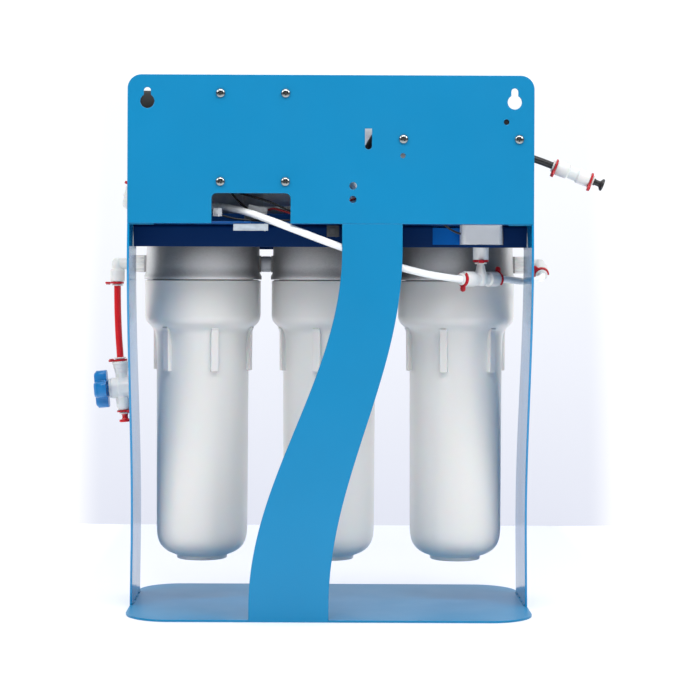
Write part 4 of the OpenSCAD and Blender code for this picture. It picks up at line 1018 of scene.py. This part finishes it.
def screw_head():
    """Mesh of one pan head with its cross recess, the seat at 0 and the top towards -Z."""
    bm = bmesh.new()
    r, h = 3.9, 2.6
    dome = [(r * x, -h * (0.38 + 0.62 * z)) for x, z in (polar(1, t) for t in range(0, 90, 10))]
    lathe(bm, [(0, 0), (r - 0.25, 0), (r, -0.3), *dome, (0, -h)], sides=40)
    cross = bmesh.new()
    for turn in (45, 135):
        place = Matrix.Rotation(math.radians(turn), 4, "Z")
        slot = [(-2.6, -0.62), (2.6, -0.62), (2.6, 0.62), (-2.6, 0.62)]
        neck = [(x * 0.4, y * 0.6) for x, y in slot]
        loft(cross, neck, -h + 1.9, slot, -h - 0.4, place)
    return carved(bm, cross)


def carved(bm, tool):
    """bm less tool, both in millimetres, as a new mesh in millimetres."""
    objects = []
    for source in (bm, tool):
        bmesh.ops.recalc_face_normals(source, faces=source.faces)
        data = bpy.data.meshes.new("carve")
        source.to_mesh(data)
        source.free()
        objects.append(added("carve", data))
    cut = objects[0].modifiers.new("cut", "BOOLEAN")
    cut.object = objects[1]
    cut.operation = "DIFFERENCE"
    cut.solver = "EXACT"
    cut.use_self = True
    bpy.context.view_layer.update()
    graph = bpy.context.evaluated_depsgraph_get()
    done = bpy.data.meshes.new_from_object(objects[0].evaluated_get(graph))
    for o in objects:
        bpy.data.meshes.remove(o.data)
    return done


def make_screws():
    head = screw_head()
    rows = {
        "pump_screws": ([(x, PLATE_Y, z) for x, z in PUMP_SCREWS], Y, 12),
        "bracket_screws": ([(x, PLATE_Y, z) for x, z in BRACKET_SCREWS], Y, 8),
        "head_screws": (
            [
                (x + dx, HOUSING_Y + dy, SHELF_Z + SHEET)
                for x in HOUSING_X
                for dx in (-19, 19)
                for dy in (-19, 19)
            ],
            -Z, 16,
        ),
    }
    for node, (places, inward, length) in rows.items():
        bm = bmesh.new()
        for k, at in enumerate(places):
            place = frame_along(at, inward) @ Matrix.Rotation(math.radians(17 + 37 * k), 4, "Z")
            one = bmesh.new()
            one.from_mesh(head)
            one.transform(place)
            data = bpy.data.meshes.new("one")
            one.to_mesh(data)
            one.free()
            bm.from_mesh(data)
            bpy.data.meshes.remove(data)
            shank = [(0, -0.2), (2, -0.2), (2, length - 1), (1.4, length), (0, length)]
            lathe(bm, shank, place, 20)
        name = node.replace("screws", "screw_set")
        piece(name, bm, CHROME, "screw_steel", [node], edge=0, smooth=30)
    bpy.data.meshes.remove(head)


# ---------- connector blocks ----------


def make_blocks():
    """The housings that join the leads, each with its latch, and the clips that hold them."""
    for name, at, size, lean, look in (
        ("lead_block", (-63.5, -77.5, 355), (17, 7, 7), 12, SWITCH),
        ("small_block", (-98, -86, 353), (8, 6, 7), 0, GREY),
        ("lead_clip", (152, -94.3, 432), (14, 7, 12), 0, LEAD_BLACK),
        ("edge_guard", (-68.8, -95, 339.8), (30, 5, 5.8), 0, CLEAR),
        ("cable_clamp", (2.2, -91, 336.9), (11, 6, 9.6), 0, PUMP),
    ):
        bm = bmesh.new()
        w, d, h = (v / 2 for v in size)
        place = Matrix.Translation(at) @ Matrix.Rotation(math.radians(lean), 4, "Y")
        prism(bm, rounded(-w, -d, w, d, (0.8,) * 4, 3), -h, h, place)
        latch = rounded(-w * 0.55, -d - 0.7, w * 0.35, -d + 0.5, (0.2,) * 4, 2)
        prism(bm, latch, -h * 0.5, h * 0.6, place)
        band = rounded(w - 3.4, -d - 0.35, w - 2.2, d + 0.35, (0.1,) * 4, 2)
        prism(bm, band, -h - 0.35, h + 0.35, place)
        piece(name, bm, look, "switch_plastic", edge=0.3)


# ---------- make it ----------

make_camera()

for name, look, slot, *_ in HOSES:
    line_piece(name, TUBE_R, look, name.replace("hose", "tube"))
for name, look, slot, *_ in LEADS:
    line_piece(name, LEAD_R, look, "leads")

for look, names in CAD_LOOKS.items():
    for name in names.split():
        finish_node(name, look, 0.35)

make_stand()
make_shelf()
make_welds()
for i in range(3):
    make_bowl(i)
make_fittings()
make_tee()
drain_pieces = make_link()
valve_pieces = make_valve()
make_screws()
make_blocks()


# ---------- floor, backdrop and light, in metres ----------

REACH = 4
WALL_FOOT, WALL_TOP = 0.56, 0.9
POOL = (0.6, 1.4)
WORLD_LIGHT = 0.2


def stage_sheet(name, corners, look):
    data = bpy.data.meshes.new(name)
    data.from_pydata(corners, [], [(0, 1, 2, 3)])
    data.materials.append(look)
    made = added(name, data)


def glow_with_painted_shade(look, axis, centre, half, soft, near, far, dim):
    """Glow of a sheet: white outside a soft-edged field, and inside it a painted shade that runs
    from near to far along an axis.

    It lights the object from nearby only, but looks as bright all over.
    """
    tree = look.node_tree
    shader = tree.nodes["Principled BSDF"]
    at = tree.nodes.new("ShaderNodeTexCoord").outputs["Object"]
    split = joined(tree, "SeparateXYZ", Vector=at)

    def maths(operation, source, other=0.0):
        node = tree.nodes.new("ShaderNodeMath")
        node.operation = operation
        tree.links.new(source, node.inputs[0])
        if isinstance(other, float):
            node.inputs[1].default_value = other
        else:
            tree.links.new(other, node.inputs[1])
        return node.outputs[0]

    def mix(factor, a, b):
        node = tree.nodes.new("ShaderNodeMix")
        node.data_type = "RGBA"
        colours = [socket for socket in node.inputs if socket.type == "RGBA"]
        tree.links.new(factor, node.inputs["Factor"])
        for socket, colour in zip(colours, (a, b)):
            if isinstance(colour, tuple):
                socket.default_value = (*colour, 1)
            else:
                tree.links.new(colour, socket)
        return next(socket for socket in node.outputs if socket.type == "RGBA")

    sides = []
    for name, middle, reach in zip(("X", axis), centre, half):
        off = maths("ABSOLUTE", maths("SUBTRACT", split.outputs[name], float(middle)))
        sides.append(ranged(tree, off, reach - soft, reach + soft, 1, 0, "SMOOTHSTEP"))
    shade_field = maths("MULTIPLY", *sides)
    low, high = centre[1] - half[1], centre[1] + half[1]
    along = ranged(tree, split.outputs[axis], low, high, 0, 1, "SMOOTHSTEP")
    glow = mix(shade_field, (1.0, 1.0, 1.0), mix(along, near, far))
    tree.links.new(glow, shader.inputs["Emission Color"])

    distance = tree.nodes.new("ShaderNodeVectorMath")
    distance.operation = "LENGTH"
    tree.links.new(at, distance.inputs[0])
    pool = ranged(tree, distance.outputs["Value"], *POOL, 1, dim, "SMOOTHSTEP")
    seen = tree.nodes.new("ShaderNodeLightPath").outputs["Is Camera Ray"]
    tree.links.new(maths("MAXIMUM", pool, seen), shader.inputs["Emission Strength"])


def one_sided(look):
    """Let a sheet show only on the side it faces, so that it never stands before the object."""
    tree = look.node_tree
    side = tree.nodes.new("ShaderNodeNewGeometry")
    clear = tree.nodes.new("ShaderNodeBsdfTransparent")
    mix = joined(tree, "MixShader", Fac=side.outputs["Backfacing"])
    end = next(node for node in tree.nodes if node.type == "OUTPUT_MATERIAL")
    tree.links.new(tree.nodes["Principled BSDF"].outputs[0], mix.inputs[1])
    tree.links.new(clear.outputs[0], mix.inputs[2])
    tree.links.new(mix.outputs[0], end.inputs["Surface"])


def paper(name, colour, rough):
    return material(name, colour, rough, 0.01, 3, 0.04, 400, 0.02, Emission_Strength=1)


FLOOR = paper("floor_paper", linear(180, 181, 184), 0.6)
WALL = paper("backdrop_paper", linear(90, 91, 94), 0.8)
# painted shade: a darker, tinted field on the floor and the backdrop round the object, darker
# towards the wall's foot
glow_with_painted_shade(FLOOR, "Y", (0.02, 0.24), (0.29, 0.38), 0.04, (0.45, 0.47, 0.52), (0.37, 0.4, 0.49), 0.1)
glow_with_painted_shade(WALL, "Z", (0.024, 0.2), (0.32, 0.336), 0.03, (0.62, 0.64, 0.735), (0.83, 0.85, 0.89), 0.8)
one_sided(WALL)
stage_sheet(
    "floor",
    [(-REACH, -REACH, 0), (REACH, -REACH, 0), (REACH, REACH, 0), (-REACH, REACH, 0)],
    FLOOR,
)
stage_sheet(
    "backdrop",
    [
        (-REACH, WALL_FOOT, 0), (REACH, WALL_FOOT, 0),
        (REACH, WALL_TOP, REACH), (-REACH, WALL_TOP, REACH),
    ],
    WALL,
)


def area_light(name, at, towards, size, power):
    data = bpy.data.lights.new(name, "AREA")
    data.shape = "RECTANGLE"
    data.size, data.size_y = size
    data.energy = power
    made = added(name, data)
    made.location = at
    made.rotation_euler = (Vector(towards) - Vector(at)).to_track_quat("-Z", "Y").to_euler()


area_light("key_left", (-1.5, -1.15, 1.5), (0, 0, 0.3), (1.1, 0.9), 17)
area_light("key_right", (1.45, -1.2, 1.45), (0, 0, 0.3), (1.1, 0.9), 20)
area_light("front", (0, -1.35, 1.85), (0, 0, 0.35), (1.5, 0.5), 23)
area_light("top", (0, 0.1, 2.2), (0, 0.1, 0), (2.4, 1.4), 17)

world = bpy.data.worlds.new("studio")
world.use_nodes = True
tree = world.node_tree
sky = tree.nodes["Background"]
sky.inputs["Color"].default_value = (1, 1, 1, 1)
seen = tree.nodes.new("ShaderNodeLightPath").outputs["Is Camera Ray"]
tree.links.new(ranged(tree, seen, 0, 1, WORLD_LIGHT, 1), sky.inputs["Strength"])
bpy.context.scene.world = world
bpy.context.scene.view_settings.view_transform = "Standard"
